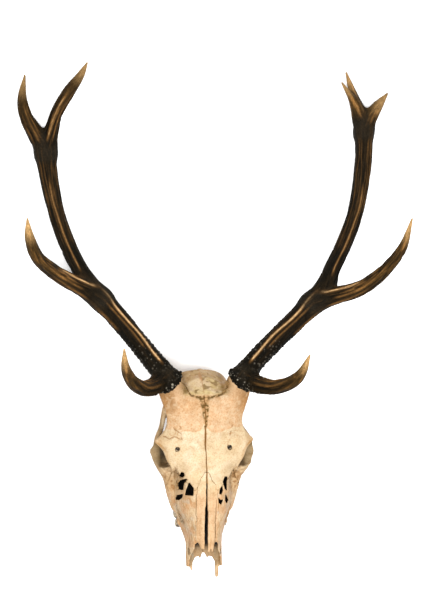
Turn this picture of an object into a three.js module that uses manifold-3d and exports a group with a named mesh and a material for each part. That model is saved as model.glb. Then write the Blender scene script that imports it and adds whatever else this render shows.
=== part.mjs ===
// The skull of a red deer stag with its antlers, without the lower jaw, at life size in millimetres.
// It lies face up as it comes to rest: on the occipital condyles and the backs of the two crowns.
//
// Skull frame, in which everything is modelled: X towards the stag's left, Y from the nose towards
// the crowns, Z out of the forehead, origin at the bregma, where the frontals meet the braincase.
// "left" and "right" are the stag's own sides, and left is +X.
import * as THREE from "three";
import { mergeVertices } from "three/addons/utils/BufferGeometryUtils.js";
import Module from "manifold-3d";

const wasm = await Module();
wasm.setup();

// ---------------------------------------------------------------- driving dimensions

const REST_TILT = THREE.MathUtils.degToRad(20.5); // how far the forehead leans back at rest
const FLOOR = -131.4; // height of the floor under the bregma, once the skull is tilted
const FLOOR_SIZE = [900, 1400, 100];
const GAP = 0.3; // clearance along every suture and joint between nodes
const MIDLINE = GAP / 2;

const NASAL_TIP = -259; // Y of the front of the nasal bones
const NASAL_ROOT = -121; // Y of their rear points, wedged between the frontals
const NASAL_FLOOR = -12; // Z down to which the nasal bones reach
const FACE_BACK = -74; // Y of the cut between the face and the braincase
const FRONTAL_DEPTH = -33; // Z of the cut under the frontals

// The face from the nose to the orbits: for each Y the height of its roof and floor and half its
// width at both.
const FACE = [
  { y: -283, roof: -6, floor: -54, top: 15, bottom: 36.5 },
  { y: -258, roof: -5, floor: -57, top: 15, bottom: 36.5 },
  { y: -235, roof: -4, floor: -60, top: 19, bottom: 36.5 },
  { y: -217, roof: -2, floor: -62, top: 22, bottom: 41 },
  { y: -196, roof: -1, floor: -69, top: 26, bottom: 53 },
  { y: -172, roof: 0, floor: -79, top: 32, bottom: 62 },
  { y: -150, roof: 0, floor: -89, top: 37, bottom: 60 },
  { y: -125, roof: 0, floor: -100, top: 43, bottom: 55 },
  { y: -104, roof: 0, floor: -106, top: 50, bottom: 50 },
  { y: -86, roof: 0, floor: -106, top: 44, bottom: 42 },
];
const FACE_SQUARENESS = 3.4; // exponent of the superellipse sections; 2 is an ellipse
const FACE_CROWN = 3; // how much the roof rises at the midline
const FACE_WALL = { roof: 4, floor: 9, side: 4.5 }; // thickness of the bone round the nasal cavity

// The forehead: for each Y its height at the midline, half its width and its drop at that edge.
const FOREHEAD = [
  { y: -134, height: 0, half: 38, drop: 12 },
  { y: -118, height: 1, half: 48, drop: 15 },
  { y: -98, height: 3, half: 63, drop: 18 },
  { y: -82, height: 4, half: 75, drop: 22 },
  { y: -72, height: 4, half: 81.5, drop: 24 },
  { y: -62, height: 4, half: 72.5, drop: 22 },
  { y: -50, height: 4, half: 64.5, drop: 19 },
  { y: -34, height: 4, half: 62.5, drop: 15 },
  { y: -20, height: 3, half: 65.5, drop: 12 },
  { y: -6, height: 1, half: 69.5, drop: 10 },
  { y: 8, height: -6, half: 72.5, drop: 8 },
];
const FOREHEAD_RIM = 7; // thickness at its side edges
const FOREHEAD_CORE = 34; // thickness at the midline
const FOREHEAD_BEND = 2.2; // exponents with which it falls and thins towards its edges
const FOREHEAD_TAPER = 1.5;

// The braincase, in the same terms as the face.
const BRAINCASE = [
  { y: -104, roof: -8, floor: -96, top: 24, bottom: 22 },
  { y: -84, roof: -6, floor: -102, top: 27, bottom: 24 },
  { y: -64, roof: -4, floor: -109, top: 37, bottom: 31 },
  { y: -44, roof: -3, floor: -114, top: 48, bottom: 42 },
  { y: -24, roof: -1, floor: -118, top: 53, bottom: 50 },
  { y: -4, roof: -1, floor: -120, top: 52, bottom: 50 },
  { y: 14, roof: -10, floor: -120, top: 48, bottom: 48 },
  { y: 28, roof: -26, floor: -118, top: 43, bottom: 42 },
  { y: 38, roof: -44, floor: -112, top: 33, bottom: 33 },
  { y: 44, roof: -56, floor: -104, top: 20, bottom: 22 },
];
const BRAINCASE_SQUARENESS = 2.2;
const OCCIPUT = { point: [0, 41, -62], lean: 37 }; // the flat back of the skull, degrees from XZ

const ORBIT = { centre: [75, -93, -39], radii: [34, 24, 23] };
const ORBIT_RIM = [
  [78, -70, -25],
  [64, -95, -18],
  [52, -115, -22],
  [56, -122, -36],
  [73, -114, -49],
  [83, -97, -53],
  [83, -78, -48],
  [80, -67, -36],
];
const ORBIT_RIM_RADIUS = 4;

// Teeth of one side from the front, as [length along the row, breadth].
const TEETH = [
  [16, 12],
  [18, 15],
  [17, 18],
  [21, 21],
  [24, 23],
  [24, 22],
];
const TOOTH_ROW_FRONT = [38, -218, -65]; // where the row begins on the alveolar edge
const TOOTH_ROW_BACK = [41, -107, -105];
const CROWN_HEIGHT = 12;
const ROOT_DEPTH = 12;
const CROWN_TAPER = 0.92; // breadth at the wear face and at the root tip against the tooth's own
const ROOT_TAPER = 0.5;
const CROWN_GROOVE = 2.5;
const TOOTH_OVERLAP = 1.02; // each tooth against its share of the row, so that neighbours join

// Each branch of an antler runs through [X, Y, Z, radius] stations, X counted away from the midline.
const ANTLERS = {
  left: {
    beam: [
      [60, 28, -5, 18],
      [73, 43, -8, 17],
      [90, 62, -11, 15.5],
      [120, 91, -15, 15.5],
      [154, 122, -17, 16.5],
      [186, 153, -16, 18.5],
    ],
    upper: [
      [186, 153, -16, 18.5],
      [206, 180, -13, 16],
      [218, 211, -10, 13],
      [236, 249, -4, 12.5],
      [251, 290, 3, 12.5],
      [260, 340, 15, 13],
      [263, 392, 28, 14],
      [262, 436, 38, 16],
    ],
    brow: [
      [66, 35, -4, 14],
      [80, 21, 15, 12.5],
      [99, 16, 40, 11],
      [115, 19, 67, 10],
      [128, 28, 93, 8.5],
      [137, 42, 116, 6.5],
      [143, 70, 148, 1.5],
    ],
    mid: [
      [180, 150, -14, 16],
      [216, 161, 0, 13],
      [248, 171, 25, 11.5],
      [271, 187, 52, 10.5],
      [289, 209, 81, 8.5],
      [304, 238, 112, 6.2],
      [313, 281, 136, 1.5],
    ],
    outer: [
      [262, 428, 35, 13],
      [269, 449, 45, 11.5],
      [279, 467, 57, 8.5],
      [292, 486, 72, 2],
    ],
    inner: [
      [261, 430, 38, 13],
      [252, 460, 46, 9.5],
      [241, 487, 53, 6.5],
      [227, 521, 64, 1.5],
    ],
    rear: [
      [253, 448, 46, 9],
      [238, 476, 62, 6],
      [217, 503, 76, 1.5],
    ],
  },
  right: {
    beam: [
      [60, 28, -5, 18],
      [72, 45, -8, 17],
      [88, 65, -11, 15.5],
      [112, 96, -15, 15],
      [140, 131, -17, 16],
      [167, 161, -16, 18],
    ],
    upper: [
      [167, 161, -16, 18],
      [187, 186, -13, 16],
      [203, 214, -10, 13],
      [221, 252, -4, 12.5],
      [236, 294, 1, 12.5],
      [248, 345, 12, 14],
      [256, 399, 25, 17],
    ],
    brow: [
      [66, 35, -4, 14],
      [84, 21, 17, 12.5],
      [103, 18, 43, 11],
      [120, 25, 71, 9.5],
      [133, 38, 98, 8],
      [142, 56, 125, 5.8],
      [146, 84, 152, 1.5],
    ],
    mid: [
      [166, 162, -14, 16],
      [194, 178, -2, 13],
      [225, 194, 18, 11.5],
      [253, 211, 49, 10.5],
      [273, 229, 80, 8.8],
      [285, 256, 108, 7],
      [289, 285, 128, 1.5],
    ],
    outer: [
      [256, 396, 25, 14],
      [273, 427, 35, 11.5],
      [287, 453, 46, 9.5],
      [292, 480, 57, 6.5],
      [288, 512, 71, 1.5],
    ],
    inner: [
      [255, 396, 27, 14],
      [247, 428, 41, 10.5],
      [237, 458, 56, 9.5],
      [220, 486, 73, 9],
      [203, 509, 91, 6],
      [193, 527, 104, 1.5],
    ],
  },
};

// Bars of bone beside the midline, as [X, Y, Z, radius] stations.
const ALVEOLAR_RIDGE = [
  [26, -236, -54, 4.5],
  [34, -210, -60, 6],
  [39, -170, -76, 11],
  [41, -135, -91, 13],
  [39, -100, -102, 10],
];
const CHEEKBONE = [
  [45, -184, -58, 6.5],
  [50.5, -158, -60, 10],
  [56.5, -134, -59, 10.5],
  [68, -112, -59, 11.5],
  [76, -92, -60, 8],
];
const ORBIT_FLOOR = [
  [56, -120, -60, 8],
  [60, -98, -65, 8],
  [65, -76, -65, 5],
];
const ZYGOMATIC_ARCH = [
  [74, -92, -63, 7],
  [74, -72, -63, 5],
  [67, -52, -67, 4.2],
  [61, -34, -70, 4.5],
  [54, -16, -72, 6.5],
  [42, -4, -74, 9],
];
const JUGULAR_PROCESS = [
  [34, 10, -98, 11],
  [36, -5, -122, 7],
  [34, -17, -142, 3.5],
];
const NUCHAL_CREST = [
  [-45, 10, -94, 3.5],
  [-38, 26, -81, 4],
  [-26, 35, -71, 4],
  [0, 38.5, -63, 4.5],
  [26, 35, -71, 4],
  [38, 26, -81, 4],
  [45, 10, -94, 3.5],
];

const CONDYLE = { centre: [17, 7, -124], radii: [12, 15, 15] };
const BULLA = { centre: [26, -38, -114], radii: [9, 15, 13] };
const JAW_SOCKET = { centre: [48, -38, -79], radii: [15, 14, 8] };
const PEDICLE = { foot: [38, -8, -24], footRadius: 25, topRadius: 19 };

// The pterygoid plate beside the throat, as [y, z], and the values of X it lies between.
const PTERYGOID = [
  [-112, -92],
  [-84, -90],
  [-62, -100],
  [-60, -108],
  [-76, -116],
  [-96, -119],
  [-110, -112],
];
const PTERYGOID_SPAN = [13, 18];

// Passages through the bone.
const THROAT = [
  [0, -150, -60, 13],
  [0, -112, -84, 12],
  [0, -84, -124, 12],
];
const FORAMEN_MAGNUM = { mouth: [0, 30, -114], end: [0, -16, -100], radii: [13, 11] };
const BROW_FORAMEN = {
  left: { mouth: [37, -78, 12], end: [42, -92, -14], radii: [4, 3.4] },
  right: { mouth: [44, -78, 12], end: [49, -92, -14], radii: [4, 3.4] },
};
const NASAL_CAVITY_BACK = -112; // Y
// The gap between the prongs of the maxillae and the broken edge of the palate, seen from above.
const MOUTH_OUTLINE = [
  [0, -345],
  [18.5, -345],
  [18.5, -276],
  [14, -268],
  [8, -267],
  [6, -271],
  [2.5, -262],
  [0, -261],
];

// The slope of the upper edge of each maxilla beside the nasal tips, as [y, z].
const NOSE_NOTCH = [
  [-310, 30],
  [-310, -40],
  [-266, -32],
  [-238, -8],
  [-238, 30],
];
const NOSE_NOTCH_SPAN = [14.5, 50]; // the values of X it lies between

// The broken front tips of the maxillae.
const SNOUT_TIPS = {
  left: [
    [22, -270, -50, 4.5],
    [21, -301, -48, 3.6],
  ],
  right: [
    [22, -270, -50, 4],
    [21, -289, -49, 1.6],
  ],
};

// The holes in the face beside the nasal bones, as outlines seen from above.
const VACUITY_DEPTH = -45; // Z
const VACUITIES = {
  left: [
    [
      [31.4, -132],
      [34.8, -132.8],
      [33.2, -141.4],
      [34.3, -154],
      [31.3, -150.5],
      [28, -139.4],
    ],
    [
      [25.6, -147.4],
      [26.5, -153.8],
      [24.1, -159.3],
      [21.2, -158.1],
      [22, -153],
    ],
    [
      [19.6, -166.2],
      [22.1, -169.5],
      [26.7, -169.7],
      [23.5, -176],
      [20.1, -172.8],
    ],
    [
      [32.6, -162],
      [37.3, -171.7],
      [34.6, -175.2],
      [32.1, -170.2],
    ],
  ],
  right: [
    [
      [28.2, -140.2],
      [21.9, -148.6],
      [22.7, -159.8],
      [33.4, -159.5],
      [32.2, -152],
    ],
    [
      [35, -134.3],
      [31.9, -133.9],
      [36.5, -141.7],
      [37.6, -151.8],
      [42.2, -151.7],
      [43.4, -144.1],
      [40, -137.4],
    ],
    [
      [39.8, -123],
      [36.6, -124.3],
      [36, -128.5],
      [38.6, -131],
      [41.5, -128.4],
    ],
    [
      [45.6, -169],
      [44, -163.4],
      [37.9, -159.8],
      [38.8, -164.8],
      [42.4, -169.1],
    ],
  ],
};

// Where the bones part, as outlines seen from above; each bone is the whole skull inside one.
const FRONTAL_OUTLINE = [
  [MIDLINE, 3],
  [26, 3],
  [30, 60],
  [130, 60],
  [130, -122],
  [46, -126],
  [20, -150],
  [17, -150],
  [16, -142],
  [3, NASAL_ROOT],
  [MIDLINE, NASAL_ROOT + 2],
];
const NASAL_OUTLINE = [
  [1, NASAL_ROOT + 1],
  [3, NASAL_ROOT - GAP * 2],
  [15.7, -142.3],
  [17, -156],
  [14, NASAL_TIP + 5],
  [12.6, NASAL_TIP - 3],
  [10.8, NASAL_TIP - 1],
  [9.4, NASAL_TIP + 11],
  [8, NASAL_TIP + 7],
  [2.6, NASAL_TIP + 8],
  [2.2, -200],
  [1, -144],
];
const ZYGOMATIC_OUTLINE = [
  [53, -56],
  [53, -96],
  [52, -124],
  [52, -152],
  [120, -152],
  [120, -56],
];
const ZYGOMATIC_TOP = -44; // Z

// Room cleared in the maxillae under the suture of the nasal bones and round their front tips.
const NASAL_SLIT = { half: 1, back: NASAL_ROOT + 3 };
const NASAL_MOUTH = { half: 17, back: NASAL_TIP + 21, low: -28 };

const BURR = { centre: [60, 27, -5], radius: 27, thickness: 13, knobs: 13, swell: 0.04 };

// Facets: sides around a branch or a body, and steps along it.
const TINE_SIDES = 8;
const BEAM_SIDES = 10;
const STEP_LENGTH = 32; // mm of branch per step
const FACE_FACETS = [14, 9];
const CAVITY_FACETS = [10, 4];
const BRAINCASE_FACETS = [16, 9];
const FOREHEAD_FACETS = [8, 9];
const ORBIT_FACETS = [12, 7];
const ORBIT_RIM_FACETS = [12, 6];
const KNUCKLE_FACETS = [8, 6];
const BUMP_FACETS = [8, 6];
const HOLE_SIDES = 8;
const COLLAR_SIDES = 12;

// How far a solid that only cuts reaches past what it cuts.
const BEYOND = 130;
const ABOVE = 60;
const SIDES = { left: 1, right: -1 };

const BONE = { color: 0xd9bd94, roughness: 0.62, metalness: 0 };
const PALE_BONE = { color: 0xdec59c, roughness: 0.58, metalness: 0 };
const ANTLER = { color: 0x3a2717, roughness: 0.58, metalness: 0 };
const TINE = { color: 0x8c6537, roughness: 0.5, metalness: 0 };

// ---------------------------------------------------------------- geometry helpers

// A closed geometry as a solid whose faces point out.
function solid(geometry) {
  const bare = geometry.clone();
  for (const name of Object.keys(bare.attributes)) {
    if (name !== "position") bare.deleteAttribute(name);
  }
  const merged = mergeVertices(bare, 1e-3);
  const faces = new Uint32Array(merged.index.array);
  const make = () =>
    new wasm.Manifold(
      new wasm.Mesh({
        numProp: 3,
        vertProperties: new Float32Array(merged.attributes.position.array),
        triVerts: faces,
      }),
    );
  const made = make();
  if (made.volume() > 0) return made;
  for (let i = 0; i < faces.length; i += 3) {
    [faces[i + 1], faces[i + 2]] = [faces[i + 2], faces[i + 1]];
  }
  return make();
}

const join = (...solids) => solids.reduce((a, b) => a.add(b));
const cut = (from, ...solids) => solids.reduce((a, b) => a.subtract(b), from);

// The largest body of a solid, without the crumbs that crossing surfaces leave.
function largest(shape) {
  return shape.decompose().reduce((a, b) => (b.volume() > a.volume() ? b : a));
}

// A named mesh of a solid's largest body.
function meshOf(name, shape, look) {
  const { vertProperties, triVerts } = largest(shape).getMesh();
  const geometry = new THREE.BufferGeometry()
    .setAttribute("position", new THREE.BufferAttribute(new Float32Array(vertProperties), 3))
    .setIndex(new THREE.BufferAttribute(new Uint32Array(triVerts), 1));
  geometry.computeVertexNormals();
  const mesh = new THREE.Mesh(geometry, new THREE.MeshStandardMaterial(look));
  mesh.name = name;
  return mesh;
}

// Moves every vertex of a geometry to place(point).
function mapped(geometry, place) {
  const positions = geometry.getAttribute("position");
  const point = new THREE.Vector3();
  for (let i = 0; i < positions.count; i++) {
    point.fromBufferAttribute(positions, i);
    const to = place(point);
    positions.setXYZ(i, to.x, to.y, to.z);
  }
  return geometry;
}

// A smooth function through the column `key` of a table of stations ordered by y.
function along(stations, key) {
  const curve = new THREE.CubicInterpolant(
    stations.map((s) => s.y),
    stations.map((s) => s[key]),
    1,
  );
  return (y) => curve.evaluate(y)[0];
}

const UP = new THREE.Vector3(0, 1, 0); // the axis of three.js cylinders and lathes

// A point of one side of the skull; side is 1 for the left and -1 for the right.
const mirrored = ([x, y, z], side) => new THREE.Vector3(x * side, y, z);

function ellipsoid({ centre, radii }, side, [around, rows]) {
  const geometry = new THREE.SphereGeometry(1, around, rows);
  geometry.scale(...radii).translate(centre[0] * side, centre[1], centre[2]);
  return solid(geometry);
}

// A tapering round bar through [x, y, z, radius] stations. `squash` flattens it in Z.
function bar(stations, side, { sides = TINE_SIDES, grow = 0, squash = 1, steps } = {}) {
  const curve = new THREE.CatmullRomCurve3(stations.map((s) => mirrored(s, side)), false, "centripetal");
  const count = steps ?? Math.max(2, Math.round(curve.getLength() / STEP_LENGTH));
  const frames = curve.computeFrenetFrames(count, false);
  const last = stations.length - 1;
  const radiusAt = (t) => {
    const i = Math.min(last - 1, Math.floor(t * last));
    const f = t * last - i;
    const ease = f * f * (3 - 2 * f);
    return THREE.MathUtils.lerp(stations[i][3], stations[i + 1][3], ease) + grow;
  };
  const geometry = new THREE.CylinderGeometry(1, 1, 1, sides, count);
  return solid(
    mapped(geometry, (p) => {
      const row = Math.round((0.5 - p.y) * count);
      const t = curve.getUtoTmapping(row / count);
      const r = radiusAt(t);
      const at = curve.getPoint(t);
      at.addScaledVector(frames.normals[row], p.x * r);
      at.addScaledVector(frames.binormals[row], p.z * r);
      if (squash !== 1) {
        const axis = curve.getPoint(t);
        at.z = axis.z + (at.z - axis.z) * squash;
      }
      return at;
    }),
  );
}

// A straight cylinder between two points, with a radius at each.
function rod(from, to, [radiusFrom, radiusTo], sides) {
  const axis = to.clone().sub(from);
  const geometry = new THREE.CylinderGeometry(radiusTo, radiusFrom, axis.length(), sides);
  const turn = new THREE.Quaternion().setFromUnitVectors(UP, axis.clone().normalize());
  geometry.applyQuaternion(turn).translate(...from.clone().lerp(to, 0.5).toArray());
  return solid(geometry);
}

// An upright prism over an outline of [x, y] points, grown by GAP all round where it is to cut.
function prism(outline, side, low, high, grow = 0) {
  const shape = new THREE.Shape(outline.map(([x, y]) => new THREE.Vector2(x * side, y)));
  const geometry = new THREE.ExtrudeGeometry(shape, {
    depth: high - low,
    bevelEnabled: grow > 0,
    bevelSize: grow,
    bevelThickness: grow,
    bevelSegments: 1,
  });
  return solid(geometry.translate(0, 0, low));
}

// An upright plate along the skull, over an outline of [y, z] points between two values of X.
function plate(outline, [inner, outer], side) {
  const shape = new THREE.Shape(outline.map(([y, z]) => new THREE.Vector2(y, z)));
  const geometry = new THREE.ExtrudeGeometry(shape, { depth: outer - inner, bevelEnabled: false });
  return solid(mapped(geometry, (p) => new THREE.Vector3((p.z + inner) * side, p.x, p.y)));
}

// A block between two values of X, of Y and of Z.
function block(...spans) {
  const size = spans.map(([low, high]) => high - low);
  const centre = spans.map(([low, high]) => (low + high) / 2);
  return solid(new THREE.BoxGeometry(...size).translate(...centre));
}

const midlineBlock = (half, y, z) => block([-half, half], y, z);

// ---------------------------------------------------------------- skull

// A lofted body along Y whose sections are superellipses with their own width at roof and floor.
function loft(stations, [around, steps], { squareness, crown = 0, wall, from, to }) {
  const keys = ["roof", "floor", "top", "bottom"];
  const [roof, floor, top, bottom] = keys.map((key) => along(stations, key));
  const inset = wall ?? { roof: 0, floor: 0, side: 0 };
  const first = from ?? stations[0].y;
  const last = to ?? stations.at(-1).y;
  const rounding = (v) => Math.sign(v) * Math.abs(v) ** (2 / squareness);
  const geometry = new THREE.CylinderGeometry(1, 1, 1, around, steps);
  return solid(
    mapped(geometry, (p) => {
      const y = THREE.MathUtils.lerp(first, last, 0.5 - p.y);
      const across = rounding(p.x);
      const up = (rounding(p.z) + 1) / 2;
      const half = THREE.MathUtils.lerp(bottom(y), top(y), up) - inset.side;
      const height = THREE.MathUtils.lerp(floor(y) + inset.floor, roof(y) - inset.roof, up);
      const swell = crown * (1 - across * across) * Math.max(0, up * 2 - 1);
      return new THREE.Vector3(across * half, y, height + swell);
    }),
  );
}

// The forehead: a shell that is thick at the midline and thin over the orbits.
function forehead() {
  const [height, half, drop] = ["height", "half", "drop"].map((key) => along(FOREHEAD, key));
  const [front, back] = [FOREHEAD[0].y, FOREHEAD.at(-1).y];
  const geometry = new THREE.BoxGeometry(2, 1, 1, ...FOREHEAD_FACETS, 1);
  return solid(
    mapped(geometry, (p) => {
      const y = THREE.MathUtils.lerp(front, back, p.y + 0.5);
      const roof = height(y) - drop(y) * Math.abs(p.x) ** FOREHEAD_BEND;
      const thick = THREE.MathUtils.lerp(FOREHEAD_CORE, FOREHEAD_RIM, Math.abs(p.x) ** FOREHEAD_TAPER);
      return new THREE.Vector3(p.x * half(y), y, roof - (0.5 - p.z) * thick);
    }),
  );
}

// One cheek tooth: a block with a root in the jaw and a worn, grooved crown, standing along +Z.
function tooth(long, broad) {
  const geometry = new THREE.BoxGeometry(long * TOOTH_OVERLAP, broad, CROWN_HEIGHT + ROOT_DEPTH, 1, 2, 1);
  return mapped(geometry, (p) => {
    const inCrown = p.z > 0;
    const taper = inCrown ? CROWN_TAPER : ROOT_TAPER;
    const dip = inCrown && p.y === 0 ? CROWN_GROOVE : 0;
    return new THREE.Vector3(p.x, p.y * taper, p.z - dip);
  });
}

// The face's alveolar ridge with its six cheek teeth.
function toothRow(side) {
  const front = mirrored(TOOTH_ROW_FRONT, side);
  const back = mirrored(TOOTH_ROW_BACK, side);
  const backwards = back.clone().sub(front).normalize();
  const inwards = new THREE.Vector3(0, 0, 1).cross(backwards).multiplyScalar(side).normalize();
  const down = inwards.clone().cross(backwards).multiplyScalar(side).normalize();
  const basis = new THREE.Matrix4().makeBasis(backwards, inwards, down);
  const scale = front.distanceTo(back) / TEETH.reduce((sum, [long]) => sum + long, 0);
  let start = 0;
  const teeth = TEETH.map(([long, broad]) => {
    const at = front.clone().addScaledVector(backwards, (start + long / 2) * scale);
    at.addScaledVector(down, (CROWN_HEIGHT - ROOT_DEPTH) / 2);
    start += long;
    return solid(tooth(long * scale, broad).applyMatrix4(basis).translate(...at.toArray()));
  });
  return join(bar(ALVEOLAR_RIDGE, side, { steps: 5 }), ...teeth);
}

// Rim and floor of the orbit, cheekbone and zygomatic arch back to the braincase.
function cheek(side) {
  const curve = new THREE.CatmullRomCurve3(ORBIT_RIM.map((p) => mirrored(p, side)), true, "centripetal");
  const [steps, sides] = ORBIT_RIM_FACETS;
  const rim = solid(new THREE.TubeGeometry(curve, steps, ORBIT_RIM_RADIUS, sides, true));
  const malar = bar(CHEEKBONE, side, { steps: 5, squash: 1.3 });
  const floor = bar(ORBIT_FLOOR, side, { steps: 2, sides: 6 });
  const arch = bar(ZYGOMATIC_ARCH, side, { steps: 6, sides: 6, squash: 1.5 });
  return join(rim, malar, floor, arch);
}

// What stands out from the base of the braincase on one side.
function base(side) {
  return join(
    ellipsoid(CONDYLE, side, KNUCKLE_FACETS),
    ellipsoid(BULLA, side, BUMP_FACETS),
    ellipsoid(JAW_SOCKET, side, BUMP_FACETS),
    bar(JUGULAR_PROCESS, side, { steps: 3 }),
    plate(PTERYGOID, PTERYGOID_SPAN, side),
  );
}

// The bony stump that carries the antler.
function pedicle(side) {
  const top = burrPlane(side, -BURR.thickness / 2 - GAP);
  return rod(mirrored(PEDICLE.foot, side), top, [PEDICLE.footRadius, PEDICLE.topRadius], COLLAR_SIDES);
}

// A straight round passage from its mouth to its end.
function passage({ mouth, end, radii }, side = 1) {
  return rod(mirrored(mouth, side), mirrored(end, side), radii, HOLE_SIDES);
}

// The whole skull in one piece, before it is parted into bones.
function wholeSkull() {
  const solids = [
    loft(FACE, FACE_FACETS, { squareness: FACE_SQUARENESS, crown: FACE_CROWN }),
    forehead(),
    cut(loft(BRAINCASE, BRAINCASE_FACETS, { squareness: BRAINCASE_SQUARENESS }), behindOcciput()),
    bar(NUCHAL_CREST, 1, { steps: 6, sides: 6 }),
  ];
  const before = FACE[0].y - ABOVE;
  const squareness = FACE_SQUARENESS;
  const holes = [
    loft(FACE, CAVITY_FACETS, { squareness, wall: FACE_WALL, from: before, to: NASAL_CAVITY_BACK }),
    bar(THROAT, 1, { steps: 3 }),
    passage(FORAMEN_MAGNUM),
  ];
  for (const [name, side] of Object.entries(SIDES)) {
    solids.push(toothRow(side), cheek(side), base(side), pedicle(side));
    solids.push(bar(SNOUT_TIPS[name], side, { steps: 1, sides: 6 }));
    holes.push(roomForBurr(side), ellipsoid(ORBIT, side, ORBIT_FACETS), passage(BROW_FORAMEN[name], side));
    holes.push(plate(NOSE_NOTCH, NOSE_NOTCH_SPAN, side), prism(MOUTH_OUTLINE, side, -ABOVE * 2, ABOVE));
    holes.push(...VACUITIES[name].map((outline) => prism(outline, side, VACUITY_DEPTH, ABOVE)));
  }
  return cut(join(...solids), ...holes);
}

// Everything behind the flat occipital plane.
function behindOcciput() {
  const geometry = new THREE.BoxGeometry(BEYOND * 2, BEYOND, BEYOND * 2).translate(0, BEYOND / 2, 0);
  geometry.rotateX(THREE.MathUtils.degToRad(-OCCIPUT.lean));
  return solid(geometry.translate(...OCCIPUT.point));
}

// The bones: each is what the whole skull has inside one region, with a GAP to its neighbours.
function skullBones() {
  const whole = cut(wholeSkull(), floorSlab());
  const regions = [
    ["frontal", BONE, (side, grow) => prism(FRONTAL_OUTLINE, side, FRONTAL_DEPTH, ABOVE, grow)],
    ["nasal", PALE_BONE, (side, grow) => prism(NASAL_OUTLINE, side, NASAL_FLOOR, ABOVE, grow)],
    ["zygomatic", BONE, (side, grow) => prism(ZYGOMATIC_OUTLINE, side, -ABOVE * 2, ZYGOMATIC_TOP, grow)],
  ];
  const bones = [];
  let rest = cut(
    whole,
    midlineBlock(NASAL_SLIT.half, [NASAL_TIP - ABOVE, NASAL_SLIT.back], [NASAL_FLOOR - GAP, ABOVE]),
    midlineBlock(NASAL_MOUTH.half, [NASAL_TIP - ABOVE, NASAL_MOUTH.back], [NASAL_MOUTH.low, ABOVE]),
  );
  for (const [name, side] of Object.entries(SIDES)) {
    for (const [bone, look, region] of regions) {
      bones.push(meshOf(`${bone}_${name}`, whole.intersect(region(side, 0)), look));
      rest = cut(rest, region(side, GAP));
    }
  }
  for (const [name, side] of Object.entries(SIDES)) {
    const across = side > 0 ? [MIDLINE, BEYOND] : [-BEYOND, -MIDLINE];
    const half = block(across, [FACE[0].y - ABOVE, FACE_BACK - GAP], [-ABOVE * 3, ABOVE]);
    bones.push(meshOf(`maxilla_${name}`, rest.intersect(half), BONE));
  }
  const rear = midlineBlock(BEYOND, [FACE_BACK, BEYOND], [-ABOVE * 3, ABOVE]);
  bones.push(meshOf("braincase", rest.intersect(rear), PALE_BONE));
  return bones;
}

// ---------------------------------------------------------------- antlers

function burrAxis(side) {
  const [from, to] = ANTLERS.left.beam;
  return mirrored(to, side).sub(mirrored(from, side)).normalize();
}

// The point on the antler's axis at a height above the middle of the burr.
function burrPlane(side, height) {
  return mirrored(BURR.centre, side).addScaledVector(burrAxis(side), height);
}

// The burr: a disc with a knobbed edge between the pedicle and the beam.
function burr(side) {
  const half = BURR.thickness / 2;
  const profile = [
    [0, -half],
    [BURR.radius * 0.8, -half],
    [BURR.radius, -half * 0.3],
    [BURR.radius * 0.97, half * 0.5],
    [BURR.radius * 0.74, half],
    [0, half],
  ].map(([r, h]) => new THREE.Vector2(r, h));
  const geometry = mapped(new THREE.LatheGeometry(profile, BURR.knobs * 2), (p) => {
    const swell = 1 + BURR.swell * Math.cos(BURR.knobs * Math.atan2(p.z, p.x));
    return new THREE.Vector3(p.x * swell, p.y, p.z * swell);
  });
  geometry.applyQuaternion(new THREE.Quaternion().setFromUnitVectors(UP, burrAxis(side)));
  return solid(geometry.translate(...mirrored(BURR.centre, side).toArray()));
}

// The room that a burr takes out of the skull.
function roomForBurr(side) {
  const reach = BURR.radius * 1.2;
  const low = burrPlane(side, -BURR.thickness / 2 - GAP);
  return rod(low, burrPlane(side, ABOVE), [reach, reach], COLLAR_SIDES);
}

// Everything below the plane on which the beam and the brow tine stand.
function belowBeam(side) {
  const height = BURR.thickness / 2 + GAP;
  return rod(burrPlane(side, height - BEYOND), burrPlane(side, height), [BEYOND, BEYOND], COLLAR_SIDES);
}

// One antler's nodes: each branch is cut by the ones it grows from.
function antler(name, side) {
  const { beam, upper, brow, mid, outer, inner, rear } = ANTLERS[name];
  const beamBar = (grow) => bar(beam, side, { sides: BEAM_SIDES, grow });
  const upperBar = (grow) => bar(upper, side, { sides: BEAM_SIDES, grow });
  const outerBar = (grow) => bar(outer, side, { grow });
  const innerBar = (grow) => bar(inner, side, { grow });
  const burrTop = belowBeam(side);
  const nodes = [
    [`burr_${name}`, burr(side), ANTLER],
    [`beam_lower_${name}`, cut(beamBar(0), burrTop), ANTLER],
    [`brow_tine_${name}`, cut(bar(brow, side), burrTop, beamBar(GAP)), TINE],
    [`beam_upper_${name}`, cut(upperBar(0), beamBar(GAP)), ANTLER],
    [`mid_tine_${name}`, cut(bar(mid, side), beamBar(GAP), upperBar(GAP)), TINE],
    [`crown_outer_${name}`, cut(outerBar(0), upperBar(GAP)), TINE],
    [`crown_inner_${name}`, cut(innerBar(0), upperBar(GAP), outerBar(GAP)), TINE],
  ];
  if (rear) {
    const around = [upperBar(GAP), outerBar(GAP), innerBar(GAP)];
    nodes.push([`crown_rear_${name}`, cut(bar(rear, side), ...around), TINE]);
  }
  return nodes.map(([node, shape, look]) => meshOf(node, cut(shape, floorSlab()), look));
}

// ---------------------------------------------------------------- rest pose

// What lies under the floor, in the skull frame: it leaves the small flats that the part rests on.
function floorSlab() {
  const [width, length, depth] = FLOOR_SIZE;
  const geometry = new THREE.BoxGeometry(width, length, depth);
  return solid(geometry.translate(0, 0, FLOOR - depth / 2).rotateX(REST_TILT));
}

const skull = new THREE.Group();
skull.add(...skullBones(), ...antler("left", SIDES.left), ...antler("right", SIDES.right));
skull.rotation.x = -REST_TILT;

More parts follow.
